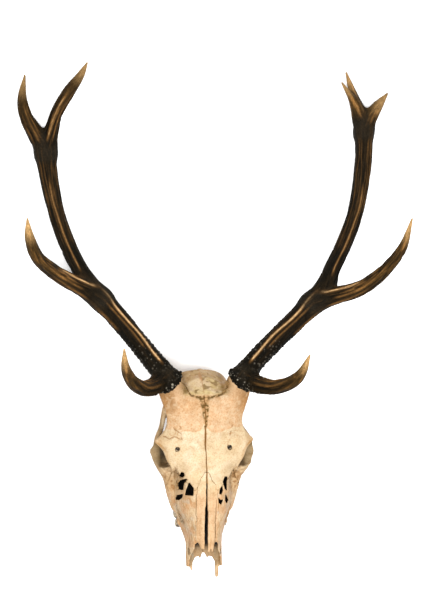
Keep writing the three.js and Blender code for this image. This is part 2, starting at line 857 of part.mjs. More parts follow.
// The origin is on the floor, under the middle of the bounding box.
const middle = new THREE.Box3().setFromObject(skull, true).getCenter(new THREE.Vector3());
skull.position.set(-middle.x, -middle.y, -FLOOR);

const model = new THREE.Group();
model.add(skull);

export default model;
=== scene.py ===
"""The skull of a red deer stag with its antlers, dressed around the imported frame.

Everything is shaped in the skull frame, in millimetres: X towards the stag's left, Y from the nose to
the crowns, Z out of the forehead, origin at the bregma. `to_row` turns it into the row frame.
Shapes are signed distance fields on a box of points, negative inside, joined and cut with soft edges.
"""
import math

import bpy
import numpy as np
from mathutils import Matrix, Vector


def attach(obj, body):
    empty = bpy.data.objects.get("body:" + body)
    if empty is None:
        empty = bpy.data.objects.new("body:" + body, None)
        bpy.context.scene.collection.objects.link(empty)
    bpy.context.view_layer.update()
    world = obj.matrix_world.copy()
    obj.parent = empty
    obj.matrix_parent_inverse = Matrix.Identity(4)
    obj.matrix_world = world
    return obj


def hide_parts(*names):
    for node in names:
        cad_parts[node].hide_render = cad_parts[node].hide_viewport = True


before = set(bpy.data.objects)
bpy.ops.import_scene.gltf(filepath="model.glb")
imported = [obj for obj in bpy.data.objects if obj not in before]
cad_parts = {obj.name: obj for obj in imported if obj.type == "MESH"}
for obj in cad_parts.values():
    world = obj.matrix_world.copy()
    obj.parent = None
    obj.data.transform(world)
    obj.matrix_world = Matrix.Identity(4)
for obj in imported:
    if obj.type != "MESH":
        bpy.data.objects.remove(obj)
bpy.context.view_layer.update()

# ---------------------------------------------------------------- driving dimensions

REST_TILT = math.radians(20.5)
BREGMA = np.array([-8.05, -115.26, 131.4])  # where the skull frame's origin lies in the row frame
MM = 0.001

SKULL_STEP = 1.0
ANTLER_STEP = 0.9
FAR = 40.0
PAINT_LEVEL = 0.55  # how bright paint is, so that bone keeps its tone in a light that turns the floor white

# The boxes that hold the skull and its main bodies.
SKULL_BOX = ((-99, -306, -150), (99, 52, 16))
FACE_BOX = ((-66, -288, -114), (66, -80, 10))
BRAINCASE_BOX = ((-62, -110, -128), (62, 50, 6))
FOREHEAD_BOX = ((-88, -140, -48), (88, 14, 12))
CONDYLE_BOX = ((-99, -45, -150), (99, 52, -90))

# The face from the nose to the orbits: Y, height of roof and floor, half the width at roof and floor.
FACE = [
    (-283, -6, -54, 15, 36.5),
    (-258, -5, -57, 15, 36.5),
    (-235, -4, -60, 19, 36.5),
    (-217, -2, -62, 22, 41),
    (-196, -1, -69, 26, 53),
    (-172, 0, -79, 32, 62),
    (-150, 0, -89, 37, 60),
    (-125, 0, -100, 43, 55),
    (-104, 0, -106, 50, 50),
    (-86, 0, -106, 44, 42),
]
FACE_SQUARENESS = 3.4
FACE_CROWN = 3
NOSE_WALL = {"roof": 3.5, "floor": 8, "side": 3.5}
NOSE_FRONT = -262
NOSE_BACK = -112
PALATE = 12  # thickness of the floor of the nose
MOUTH_SPAN = (-345, -250)
VOMER = [(0, -250, -50, 1.2), (0, -200, -50, 1.4), (0, -130, -60, 1.6)]

BRAINCASE = [
    (-104, -8, -96, 24, 22),
    (-84, -6, -102, 27, 24),
    (-64, -4, -109, 37, 31),
    (-44, -3, -114, 48, 42),
    (-24, -1, -118, 53, 50),
    (-4, -1, -120, 52, 50),
    (14, -10, -120, 48, 48),
    (28, -26, -118, 43, 42),
    (38, -44, -112, 33, 33),
    (44, -56, -104, 20, 22),
]
BRAINCASE_SQUARENESS = 2.2
OCCIPUT = {"y": 41, "z": -62, "lean": math.radians(37)}

# The forehead: Y, height at the midline, half the width, drop at that edge.
FOREHEAD = [
    (-134, 0, 38, 12),
    (-118, 1, 48, 15),
    (-98, 3, 63, 18),
    (-82, 4, 75, 22),
    (-72, 4, 81.5, 24),
    (-62, 4, 72.5, 22),
    (-50, 4, 64.5, 19),
    (-34, 4, 62.5, 15),
    (-20, 3, 65.5, 12),
    (-6, 1, 69.5, 10),
    (8, -6, 72.5, 8),
]
FOREHEAD_RIM = 6
FOREHEAD_CORE = 34

BURR_CENTRE = (60, 27, -5)
BURR_AXIS = (0.6, 0.7, 0.38)
BURR_RADIUS = 24
BURR_THICKNESS = 13
BURR_BEAD = 5.8
BURR_SEAT = 34  # how far round the burr's axis bone ends flat below it

ORBIT = {"centre": (75, -93, -39), "radii": (34, 24, 23)}
# Round bars of bone, as (X away from the midline, Y, Z, radius) stations. Where the two sides differ, each
# has its own.
BROW_RIM = [(77, -73, -25, 4), (64, -95, -18, 3.6), (52, -115, -22, 4)]
ORBIT_RIMS = {
    "left": [
        *BROW_RIM, (56, -122, -36, 4.5), (76, -114, -49, 4.5), (86.5, -97, -53, 4), (86.5, -80, -48, 4),
        (79, -73, -36, 4),
    ],
    "right": [
        *BROW_RIM, (56, -119, -36, 4.5), (72, -111, -49, 4.5), (82.5, -97, -53, 4), (83, -80, -48, 4),
        (77, -73, -36, 4),
    ],
}
RIDGE = [
    (26, -236, -54, 4.5),
    (34, -210, -60, 6),
    (39, -170, -76, 11),
    (41, -135, -91, 13),
    (39, -100, -102, 10),
]
CHEEKBONES = {
    "left": [
        (45, -184, -58, 6.5), (50.5, -158, -60, 10), (56.5, -134, -59, 10.5), (71, -112, -59, 11.5),
        (81, -94, -60, 8),
    ],
    "right": [
        (45, -184, -58, 6.5), (50, -158, -60, 10), (55, -134, -59, 10.5), (68, -109, -59, 11.5),
        (78, -92, -60, 8),
    ],
}
ORBIT_FLOOR = [(56, -120, -60, 8), (60, -98, -65, 8), (65, -76, -65, 5)]
ARCH_ROOT = [(61, -34, -70, 4.5), (54, -16, -72, 6.5), (42, -4, -74, 9)]
ARCHES = {
    "left": [(81, -98, -62, 7), (80, -75, -63, 5.5), (67, -52, -67, 4.2), *ARCH_ROOT],
    "right": [(74, -92, -63, 7), (73, -72, -63, 5), (66, -54, -67, 4.2), *ARCH_ROOT],
}
JUGULAR = [(34, 10, -98, 11), (36, -5, -122, 7), (34, -17, -142, 3.5)]
CREST = [
    (45, 10, -94, 3.5),
    (38, 26, -81, 4),
    (26, 35, -71, 4),
    (0, 38.5, -63, 4.5),
]

PTERYGOID = [(15.5, -110, -104, 2.6), (15.5, -88, -106, 2.4), (15.5, -64, -104, 2.2)]
PEDICLES = {
    "left": [(40, -24, -40, 24), (46, -4, -22, 20)],
    "right": [(36, -22, -40, 24), (42, -2, -22, 20)],
}
PEDICLE_TOP = 19.5
# Round swellings of the base of the skull, as centre, radii and softness.
KNUCKLES = [
    ((17, 7, -124), (12, 15, 15), 4),
    ((26, -38, -114), (9, 15, 13), 3),
    ((46, -30, -79), (14, 11, 8), 4),
    ((49, -14, -92), (9, 9, 8), 4),
]

TEETH = [(16, 12), (18, 15), (17, 18), (21, 21), (24, 23), (24, 22)]  # length, breadth, from the front
TOOTH_ROW = ((38, -218, -65), (41, -107, -105))
CROWN_HEIGHT = 12

SNOUT_TIPS = {
    "left": [(22, -270, -50, 4.5), (21, -285, -49, 4), (21, -299, -48, 3.2)],
    "right": [(22, -270, -50, 4), (21, -289, -49, 1.6)],
}

# Round passages on the midline and on each side, with the softness of their edges.
PASSAGES = [
    ([(0, -150, -60, 13), (0, -112, -84, 12), (0, -84, -124, 12)], 3),
    ([(0, 34, -115, 13), (0, 10, -106, 12), (0, -16, -100, 11)], 2),
    ([(0, -236, -78, 12), (0, -200, -96, 19), (0, -160, -114, 24), (0, -116, -132, 26)], 3),
]
SIDE_PASSAGES = [
    ([(54, -92, -42, 17), (34, -82, -47, 10), (20, -74, -51, 4)], 3),
    ([(52, -207, -54, 3), (38, -199, -52, 3), (30, -188, -50, 2.5)], 1),
    ([(60, -10, -92, 3), (40, -22, -92, 3)], 1),
]
NOSE_NOTCH = [(-312, 34), (-312, -40), (-266, -32), (-240, -10), (-232, 34)]  # Y and Z, seen from the side
NOSE_GAP_FLOOR = -40
NOSE_GAP = [(13.2, -268), (11.2, -250), (12.5, -243), (15, -238), (19, -242), (19, -268)]

BROW_FORAMEN = {"left": 38, "right": 45.5}  # distance from the midline
BROW_FORAMEN_Y = -81.5
BROW_PASSAGE = [(-1, -78, 12, 4.6), (2, -86, -9, 3.4)]  # X counted from the foramen

# Holes beside the nasal bones, as outlines seen from above, cut wider than drawn and down to a floor.
VACUITY_GROWTH = 0.9
VACUITY_FLOOR = -45
VACUITIES = {
    "left": [
        [(31.4, -132), (34.8, -132.8), (33.2, -141.4), (34.3, -154), (31.3, -150.5), (28, -139.4)],
        [(25.6, -147.4), (26.5, -153.8), (24.1, -159.3), (21.2, -158.1), (22, -153)],
        [(19.6, -166.2), (22.1, -169.5), (26.7, -169.7), (23.5, -176), (20.1, -172.8)],
        [(32.6, -162), (37.3, -171.7), (34.6, -175.2), (32.1, -170.2)],
    ],
    "right": [
        [(28.2, -140.2), (21.9, -148.6), (22.7, -159.8), (33.4, -159.5), (32.2, -152)],
        [
            (35, -134.3), (31.9, -133.9), (36.5, -141.7), (37.6, -151.8), (42.2, -151.7), (43.4, -144.1),
            (40, -137.4),
        ],
        [(39.8, -123), (36.6, -124.3), (36, -128.5), (38.6, -131), (41.5, -128.4)],
        [(45.6, -169), (44, -163.4), (37.9, -159.8), (38.8, -164.8), (42.4, -169.1)],
    ],
}

# The gap between the prongs of the maxillae and the broken edge of the palate, seen from above.
MOUTH_OUTLINE = [
    (-2, -345), (18.5, -345), (18.5, -276), (14, -268), (8, -267), (6, -271), (2.5, -262), (-2, -261),
]

# The suture along the middle, as Y and X.
MIDLINE = [
    (-241, -1.9), (-216, -1.7), (-184, -1.2), (-168, -0.5), (-143, -0.3), (-126, -0.1), (-113, -0.4),
    (-94, -1), (-78, -2), (-61, -1.6), (-32, -0.7), (-2, -2.3),
]
# Half the width along it, as Y and width: the open slit between the nasals, the crack between the frontals.
SLIT_FLOOR = -14
NASAL_SLIT = [
    (-266, 2.2), (-251, 2.2), (-243, 2.6), (-200, 2.5), (-185, 2.3), (-168, 1.2), (-150, 1), (-143, 0.5),
    (-138, -1.5), (-120, -3),
]
CRACK = [
    (-150, 0), (-140, 1.3), (-125, 1), (-110, 0.7), (-90, 0.5), (-78, 1.3), (-60, 1.7), (-54, 0.9),
    (2, 0.5), (6, 0),
]
# Thin cracks in the frontals, seen from above.
CRACKS = [
    [(44.6, -46.8), (41.1, -58.1), (37.6, -71.1), (34.1, -84.1), (33.1, -95.5)],
    [(-42.8, -46.5), (-40.4, -56), (-39.8, -72)],
    [(-68, -63), (-60, -68), (-52, -64), (-40, -69)],
    [(-41, -58), (-48, -55), (-53, -49)],
]
# Seen from above: the suture between frontals and braincase, and the front edge of the pink stain.
CORONAL = [
    (-31, 24), (-29.6, 20), (-26.5, 10.4), (-21.7, 2.2), (-7, -0.6), (3, -1.6), (14.5, -0.3), (27.7, 2.7),
    (36, 9), (39.5, 19), (40.5, 23),
]
STAIN = np.array([
    (-50, -52), (-30.5, -55.2), (-17.4, -56.4), (-7.5, -53.3), (-2.4, -42.1), (2.5, -50.3), (10.6, -57.1),
    (23.8, -58.2), (33.7, -54.4), (50, -50),
])

# Where the bones part, as outlines seen from above.
NASAL_ROOT = -122
FRONTAL_OUTLINE = [
    (44, 60), (130, 60), (130, -122), (46, -126), (20, -152), (17, -152), (13, -141), (3, NASAL_ROOT),
    (0, NASAL_ROOT),
]
NASAL_OUTLINES = {
    "left": [
        (0, NASAL_ROOT), (3, NASAL_ROOT), (17, -149), (17.5, -158), (15, -225), (13.2, -246.7),
        (10.7, -253.1), (8.8, -251), (7.5, -246.5), (6.2, -254), (3.3, -251.2), (0, -251),
    ],
    "right": [
        (0, NASAL_ROOT), (3, NASAL_ROOT), (14, -142), (16.5, -158), (17, -225), (16.4, -248.9),
        (12, -262.5), (10, -260), (9, -246), (6.5, -249.4), (3, -249.4), (0, -247),
    ],
}
ZYGOMATIC_OUTLINE = [
    (53, -56), (53, -96), (51, -122), (55, -135), (61, -147), (69, -155), (120, -158), (120, -56),
]
FRONTAL_DEPTH = -33
NASAL_DEPTH = -12
ZYGOMATIC_TOP = -44
FACE_BACK = -74
LIP_OUTLINE = [(-17, -239), (17, -239), (17, -320), (-17, -320)]
LIP_FLOOR = -28
# The box that holds each bone of the stag's left, and its slot.
BONES = {
    "frontal": (((-6, -156, -36), (99, 44, 16)), "bone"),
    "nasal": (((-6, -270, -15), (24, -114, 9)), "nasal_bone"),
    "zygomatic": (((45, -164, -112), (99, -48, -40)), "bone"),
}
MAXILLA_BOX = ((-6, -306, -128), (99, -70, 12))
BACK_BOX = ((-99, -78, -150), (99, 52, 16))
SUTURE = 0.02  # half the width of a suture
SUTURE_ROUNDING = 0.25

# Added to the radius of a branch away from its tip, as grooves take some of it away again.
ANTLER_SKIN = {"beam": 0.8, "brow": 1.9, "mid": 1.7, "outer": 1.2, "inner": 1.0, "rear": 0.8}
SKIN_TAPER = 60  # how far from its tip a branch has the whole of it
FORK_SOFTNESS = {"beam": 0, "brow": 9, "mid": 11, "outer": 11, "inner": 11, "rear": 11}
BEAM_REST = {"y": (220, 420), "z": (-45, 20)}  # where the beams rest on the floor

# The branches of each antler, as (X away from the midline, Y, Z, radius) stations.
ANTLERS = {
    "left": {
        "beam": [
            (60, 28, -5, 18), (73, 43, -8, 17), (90, 62, -11, 15.5), (120, 91, -15, 15.5),
            (154, 122, -17, 16.5), (186, 153, -16, 18.5), (206, 180, -13, 16), (218, 211, -10, 13),
            (236, 249, -4, 12.5), (251, 290, 3, 12.5), (260, 340, 15, 13), (263, 392, 28, 14),
            (262, 430, 37, 15),
        ],
        "brow": [
            (66, 35, -4, 14), (80, 21, 15, 12.5), (99, 16, 40, 11), (115, 19, 67, 10), (128, 28, 93, 8.5),
            (137, 42, 116, 6.5), (143, 70, 148, 1.5),
        ],
        "mid": [
            (180, 150, -14, 16), (216, 161, 0, 13), (248, 171, 25, 11.5), (271, 187, 52, 10.5),
            (289, 209, 81, 8.5), (304, 238, 112, 6.2), (313, 281, 136, 1.5),
        ],
        "outer": [(262, 428, 35, 13), (269, 449, 45, 11.5), (279, 467, 57, 8.5), (292, 486, 72, 2)],
        "inner": [(261, 430, 38, 13), (252, 460, 46, 9.5), (241, 487, 53, 6.5), (227, 521, 64, 1.5)],
        "rear": [(253, 448, 46, 9), (238, 476, 62, 6), (217, 503, 76, 1.5)],
    },
    "right": {
        "beam": [
            (60, 28, -5, 18), (72, 45, -8, 17), (88, 65, -11, 15.5), (112, 96, -15, 15),
            (140, 131, -17, 16), (167, 161, -16, 18), (187, 186, -13, 16), (203, 214, -10, 13),
            (221, 252, -4, 12.5), (236, 294, 1, 12.5), (248, 345, 12, 14), (256, 399, 25, 17),
        ],
        "brow": [
            (66, 35, -4, 14), (84, 21, 17, 12.5), (103, 18, 43, 11), (120, 25, 71, 9.5), (133, 38, 98, 8),
            (142, 56, 125, 5.8), (146, 84, 152, 1.5),
        ],
        "mid": [
            (166, 162, -14, 16), (194, 178, -2, 13), (225, 194, 18, 11.5), (253, 211, 49, 10.5),
            (273, 229, 80, 8.8), (285, 256, 108, 7), (289, 285, 128, 1.5),
        ],
        "outer": [
            (256, 396, 25, 14), (273, 427, 35, 11.5), (287, 453, 46, 9.5), (292, 480, 57, 6.5),
            (288, 512, 71, 1.5),
        ],
        "inner": [
            (255, 396, 27, 14), (247, 428, 41, 10.5), (237, 458, 56, 9.5), (220, 486, 73, 9),
            (203, 509, 91, 6), (193, 527, 104, 1.5),
        ],
    },
}
ANTLER_MARGIN = 26  # room round the middle lines of the branches
SIDES = {"left": 1, "right": -1}

# ---------------------------------------------------------------- fields


def soft_min(a, b, k):
    """The lower of two fields, rounded over a width k where they meet."""
    if k <= 0:
        return np.minimum(a, b)
    h = np.clip(0.5 + 0.5 * (b - a) / k, 0, 1)
    return b + (a - b) * h - k * h * (1 - h)


def soft_max(a, b, k):
    return -soft_min(-a, -b, k)


class Grid:
    """A field on a box of points."""

    def __init__(self, low, high, step):
        self.step = step
        self.axes = [np.arange(a, b + step, step, dtype=np.float32) for a, b in zip(low, high)]
        self.d = np.full([len(axis) for axis in self.axes], FAR, np.float32)

    def window(self, low, high):
        """The part of the box between two corners, as slices and as the X, Y and Z of its points."""
        spans = []
        for axis, a, b in zip(self.axes, low, high):
            first, last = np.searchsorted(axis, (a, b))
            spans.append(slice(first, max(last, first + 1)))
        return tuple(spans), np.ix_(*(axis[span] for axis, span in zip(self.axes, spans)))

    def add(self, shape, low, high, soft=0.0):
        spans, (x, y, z) = self.window(low, high)
        self.d[spans] = soft_min(self.d[spans], shape(x, y, z), soft)

    def cut(self, shape, low, high, soft=0.0):
        spans, (x, y, z) = self.window(low, high)
        self.d[spans] = soft_max(self.d[spans], -shape(x, y, z), soft)


def path(stations, spacing=3.0):
    """Points (X, Y, Z, radius) about `spacing` apart on a smooth curve through the stations."""
    p = np.array(stations, float)
    ends = np.vstack([2 * p[0] - p[1], p, 2 * p[-1] - p[-2]])
    rows = []
    for i in range(1, len(ends) - 2):
        a, b, c, d = ends[i - 1 : i + 3]
        count = max(1, round(float(np.linalg.norm(c[:3] - b[:3])) / spacing))
        t = (np.arange(count) / count)[:, None]
        rows.append(
            0.5 * (2 * b + (c - a) * t + (2 * a - 5 * b + 4 * c - d) * t**2 + (3 * b - a - 3 * c + d) * t**3)
        )
    rows.append(p[-1:])
    return np.vstack(rows)


def bar_field(grid, points, soft, squash=1.0):
    """Where a round bar of changing radius lies in the grid, and its field; squash above 1 deepens it."""
    reach = points[:, 3].max() * max(1, squash) + soft + 2 * grid.step
    low, high = points[:, :3].min(0) - reach, points[:, :3].max(0) + reach
    spans, _ = grid.window(low, high)
    whole = np.full([s.stop - s.start for s in spans], FAR, np.float32)
    for a, b in zip(points[:-1], points[1:]):
        near = max(a[3], b[3]) * max(1, squash) + soft + 2 * grid.step
        part, (x, y, z) = grid.window(np.minimum(a, b)[:3] - near, np.maximum(a, b)[:3] + near)
        inner = tuple(slice(p.start - s.start, p.stop - s.start) for p, s in zip(part, spans))
        axis = (b - a)[:3]
        t = ((x - a[0]) * axis[0] + (y - a[1]) * axis[1] + (z - a[2]) * axis[2]) / max(axis @ axis, 1e-9)
        t = np.clip(t, 0, 1)
        dx, dy, dz = x - a[0] - t * axis[0], y - a[1] - t * axis[1], (z - a[2] - t * axis[2]) / squash
        bar = np.sqrt(dx * dx + dy * dy + dz * dz) - (a[3] + (b[3] - a[3]) * t)
        whole[inner] = np.minimum(whole[inner], bar)
    return spans, whole


def along(table, column):
    """A smooth function of Y through one column of a table."""
    curve = path([(row[0], row[column], 0, 0) for row in table], 0.5)
    return lambda y: np.interp(y, curve[:, 0], curve[:, 1]).astype(np.float32)


def loft(table, squareness, crown=0.0, wall=None, span=None):
    """A body along Y whose sections are superellipses with their own width at roof and floor."""
    roof, floor, top, bottom = (along(table, i) for i in range(1, 5))
    wall = wall or {"roof": 0, "floor": 0, "side": 0}
    first, last = span or (table[0][0], table[-1][0])

    def shape(x, y, z):
        low, high = floor(y) + wall["floor"], roof(y) - wall["roof"]
        up = np.clip((z - low) / (high - low), 0, 1)
        half = bottom(y) + (top(y) - bottom(y)) * up - wall["side"]
        across = np.abs(x) / half
        lift = crown * np.clip(1 - across**2, 0, 1) * np.clip(2 * up - 1, 0, 1)
        tall = np.abs(2 * (z - lift - low) / (high - low) - 1)
        ring = (across**squareness + tall**squareness) ** (1 / squareness)
        d = (ring - 1) * np.minimum(half, (high - low) / 2)
        return soft_max(soft_max(d, first - y, 3), y - last, 3)

    return shape


def ellipsoid(centre, radii):
    """A field close to the distance from an ellipsoid."""

    def shape(x, y, z):
        k = np.sqrt(sum(((p - c) / r) ** 2 for p, c, r in zip((x, y, z), centre, radii)))
        return (k - 1) * min(radii)

    return shape


def add_ellipsoid(grid, centre, radii, soft, cut=False):
    reach = np.array(radii) + soft + 2 * grid.step
    act = grid.cut if cut else grid.add
    act(ellipsoid(centre, radii), np.array(centre) - reach, np.array(centre) + reach, soft)


def rod(a, b, radius):
    """A straight round rod with flat ends."""
    a, b = np.array(a, float), np.array(b, float)
    length = np.linalg.norm(b - a)
    axis = (b - a) / length

    def shape(x, y, z):
        s = (x - a[0]) * axis[0] + (y - a[1]) * axis[1] + (z - a[2]) * axis[2]
        away = np.sqrt(
            (x - a[0] - s * axis[0]) ** 2 + (y - a[1] - s * axis[1]) ** 2 + (z - a[2] - s * axis[2]) ** 2
        )
        return np.maximum(away - radius, np.abs(s - length / 2) - length / 2)

    return shape


def outline_distance(outline, x, y):
    """Signed distance to a closed outline in the plane of x and y, negative inside."""
    points = np.array(outline, float)
    best = np.full(np.broadcast(x, y).shape, 1e9)
    inside = np.zeros(best.shape, bool)
    for (x0, y0), (x1, y1) in zip(points, np.roll(points, -1, 0)):
        ex, ey = x1 - x0, y1 - y0
        t = np.clip(((x - x0) * ex + (y - y0) * ey) / (ex * ex + ey * ey), 0, 1)
        best = np.minimum(best, (x - x0 - t * ex) ** 2 + (y - y0 - t * ey) ** 2)
        if y0 != y1:
            crosses = ((y0 > y) != (y1 > y)) & (x < (x1 - x0) * (y - y0) / (y1 - y0) + x0)
            inside ^= crosses
    return (np.sqrt(best) * np.where(inside, -1, 1)).astype(np.float32)


# ---------------------------------------------------------------- noise


class Noise:
    """Smooth random values from 0 to 1 at points of space."""

    SIZE = 48

    def __init__(self, seed):
        self.table = np.random.default_rng(seed).random((self.SIZE,) * 3).astype(np.float32)

    def __call__(self, p):
        base = np.floor(p).astype(np.int64)
        f = p - base
        f = f * f * (3 - 2 * f)
        total = np.zeros(len(p))
        for i in (0, 1):
            for j in (0, 1):
                for k in (0, 1):
                    at = (base + (i, j, k)) % self.SIZE
                    weight = np.prod(np.where((i, j, k), f, 1 - f), axis=1)
                    total += weight * self.table[at[:, 0], at[:, 1], at[:, 2]]
        return total

    def layered(self, p, octaves=3):
        total, share, size = 0.0, 0.5, 1.0
        for octave in range(octaves):
            total = total + share * self(p * size + 7.3 * octave)
            share, size = share / 2, size * 2
        return total / (1 - 0.5**octaves)


# ---------------------------------------------------------------- surfaces

CORNERS = np.array([(i, j, k) for i in (0, 1) for j in (0, 1) for k in (0, 1)])
EDGES = [(a, b) for a in range(8) for b in range(a + 1, 8) if np.abs(CORNERS[a] - CORNERS[b]).sum() == 1]


def surface(field, axes, step):
    """Vertices and quads on the zero of a field, one vertex in each cell that it crosses."""
    solid = field < 0
    cell_shape = [n - 1 for n in field.shape]
    count = np.zeros(cell_shape, np.int8)
    for corner in CORNERS:
        count += solid[tuple(slice(c, c + n) for c, n in zip(corner, cell_shape))]
    cells = np.argwhere((count > 0) & (count < 8))
    number = np.full(cell_shape, -1, np.int32)
    number[tuple(cells.T)] = np.arange(len(cells))
    values = [field[tuple((cells + corner).T)].astype(float) for corner in CORNERS]
    total = np.zeros((len(cells), 3))
    weight = np.zeros(len(cells))
    for a, b in EDGES:
        crosses = (values[a] < 0) != (values[b] < 0)
        t = values[a][crosses] / (values[a][crosses] - values[b][crosses])
        total[crosses] += CORNERS[a] + t[:, None] * (CORNERS[b] - CORNERS[a])
        weight[crosses] += 1
    corner = np.array([axis[0] for axis in axes])
    points = corner + step * (cells + total / weight[:, None])
    quads = []
    for axis in range(3):
        u, v = np.eye(3, dtype=int)[(axis + 1) % 3], np.eye(3, dtype=int)[(axis + 2) % 3]
        first = [slice(1, -1)] * 3
        second = [slice(1, -1)] * 3
        first[axis] = slice(0, -1)
        second[axis] = slice(1, None)
        here, there = solid[tuple(first)], solid[tuple(second)]
        at = np.argwhere(here != there)
        outward = here[tuple(at.T)]
        offset = np.ones(3, int)
        offset[axis] = 0
        at = at + offset
        ring = [number[tuple((at - shift).T)] for shift in (0 * u, u, u + v, v)]
        quad = np.stack(ring, 1)
        quad[~outward] = quad[~outward][:, ::-1]
        quads.append(quad)
    return points, np.vstack(quads)


def largest_body(points, quads):
    """The points and quads of the largest connected piece."""
    label = np.arange(len(points))
    pairs = np.vstack([quads[:, [0, 1]], quads[:, [1, 2]], quads[:, [2, 3]]])
    while True:
        low = np.minimum(label[pairs[:, 0]], label[pairs[:, 1]])
        new = label.copy()
        np.minimum.at(new, pairs[:, 0], low)
        np.minimum.at(new, pairs[:, 1], low)
        new = new[new]
        new = new[new]
        if np.array_equal(new, label):
            break
        label = new
    names, sizes = np.unique(label, return_counts=True)
    keep = label == names[sizes.argmax()]
    order = np.cumsum(keep) - 1
    return points[keep], order[quads[keep[quads[:, 0]]]]


def vertex_normals(points, quads):
    across = np.cross(points[quads[:, 2]] - points[quads[:, 0]], points[quads[:, 3]] - points[quads[:, 1]])
    total = np.stack(
        [np.bincount(quads.ravel(), np.repeat(across[:, i], 4), len(points)) for i in range(3)], 1
    )
    return total / np.maximum(np.linalg.norm(total, axis=1, keepdims=True), 1e-12)


def to_row(points):
    """Points of the skull frame in the row frame, in metres, none of them below the floor."""
    c, s = math.cos(REST_TILT), math.sin(REST_TILT)
    x, y, z = points.T
    placed = np.stack([x, c * y + s * z, c * z - s * y], 1) + BREGMA
    return np.column_stack([placed[:, :2], np.maximum(placed[:, 2], 0)]) * MM


def cut_at_floor(grid, low, high):
    """Takes away what would lie below the floor, between two corners."""
    c, s = math.cos(REST_TILT), math.sin(REST_TILT)
    grid.cut(lambda x, y, z: c * z - s * y + BREGMA[2] + 0 * x, low, high, 0.6)


def make_piece(name, points, quads, colours, material, nodes):
    """A mesh piece that stands for CAD nodes, with a painted colour on its points."""
    mesh = bpy.data.meshes.new(name)
    mesh.vertices.add(len(points))
    mesh.vertices.foreach_set("co", to_row(points).astype(np.float32).ravel())
    mesh.loops.add(quads.size)
    mesh.loops.foreach_set("vertex_index", quads.astype(np.int32).ravel())
    mesh.polygons.add(len(quads))
    mesh.polygons.foreach_set("loop_start", np.arange(0, quads.size, 4, dtype=np.int32))
    mesh.update(calc_edges=True)
    mesh.validate()
    mesh.polygons.foreach_set("use_smooth", np.ones(len(mesh.polygons), bool))
    paint = mesh.attributes.new("paint", "FLOAT_COLOR", "POINT")
    rgba = np.ones((len(points), 4), np.float32)
    rgba[:, :3] = colours * PAINT_LEVEL
    paint.data.foreach_set("color", rgba.ravel())
    mesh.materials.append(material)
    piece = bpy.data.objects.new(name, mesh)
    bpy.context.scene.collection.objects.link(piece)
    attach(piece, "root")
    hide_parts(*nodes)
    return piece


# ---------------------------------------------------------------- the skull's shape


def mirrored(points, side):
    """Points or stations with X counted away from the midline, on one side of the skull."""
    return [(side * p[0], *p[1:]) for p in points]


def add_bar(grid, stations, side=1, soft=0.0, squash=1.0):
    spans, bar = bar_field(grid, path(mirrored(stations, side)), soft, squash)
    grid.d[spans] = soft_min(grid.d[spans], bar, soft)


def cut_bar(grid, stations, side=1, soft=0.0):
    spans, bar = bar_field(grid, path(mirrored(stations, side)), soft)
    grid.d[spans] = soft_max(grid.d[spans], -bar, soft)


def cut_prism(grid, outline, side, low, high, soft, grow=0.0):
    """An upright hole over an outline, wider than it all round by grow."""
    points = np.array(mirrored(outline, side), float)
    corners = points.min(0) - 4, points.max(0) + 4
    grid.cut(
        lambda x, y, z: np.maximum(outline_distance(points, x, y) - grow, low - z),
        (*corners[0], low - 1), (*corners[1], high), soft,
    )


def forehead():
    """The roof of the skull from the nose to the burrs, thinning towards its edges."""
    height, half, drop = (along(FOREHEAD, i) for i in (1, 2, 3))

    def shape(x, y, z):
        out = np.abs(x) / half(y)
        roof = height(y) - drop(y) * np.minimum(out, 1.15) ** 2.2
        thick = FOREHEAD_CORE + (FOREHEAD_RIM - FOREHEAD_CORE) * np.minimum(out, 1) ** 1.5
        d = soft_max(z - roof, roof - thick - z, 4)
        d = soft_max(d, np.abs(x) - half(y), 3)
        return soft_max(soft_max(d, FOREHEAD[0][0] - y, 3), y - FOREHEAD[-1][0], 3)

    return shape


def braincase():
    """The braincase, cut off behind by a leaning occiput."""
    body = loft(BRAINCASE, BRAINCASE_SQUARENESS)
    c, s = math.cos(OCCIPUT["lean"]), math.sin(OCCIPUT["lean"])

    def shape(x, y, z):
        return soft_max(body(x, y, z), c * (y - OCCIPUT["y"]) - s * (z - OCCIPUT["z"]), 5)

    return shape


def burr_axis(side):
    """The direction in which an antler leaves its pedicle."""
    x, y, z = BURR_AXIS
    return np.array([side * x, y, z]) / np.linalg.norm(BURR_AXIS)


def burr_point(side, height):
    """A point on the antler's axis at a height above the middle of the burr."""
    x, y, z = BURR_CENTRE
    return np.array([side * x, y, z]) + height * burr_axis(side)


def midline(y):
    """X of the slightly winding suture along the middle of the skull."""
    rows = np.array(MIDLINE)
    return np.interp(y, rows[:, 0], rows[:, 1])


def tooth_frame(side):
    """The middle of each tooth's neck, the directions backwards, inwards and down, and their scale."""
    front, back = (np.array([side * x, y, z], float) for x, y, z in TOOTH_ROW)
    backwards = (back - front) / np.linalg.norm(back - front)
    inwards = np.cross((0, 0, 1), backwards) * side
    inwards /= np.linalg.norm(inwards)
    down = np.cross(inwards, backwards) * side
    scale = np.linalg.norm(back - front) / sum(length for length, _ in TEETH)
    start, middles = 0.0, []
    for length, _ in TEETH:
        middles.append(front + backwards * (start + length / 2) * scale)
        start += length
    return middles, (backwards, inwards, down), scale


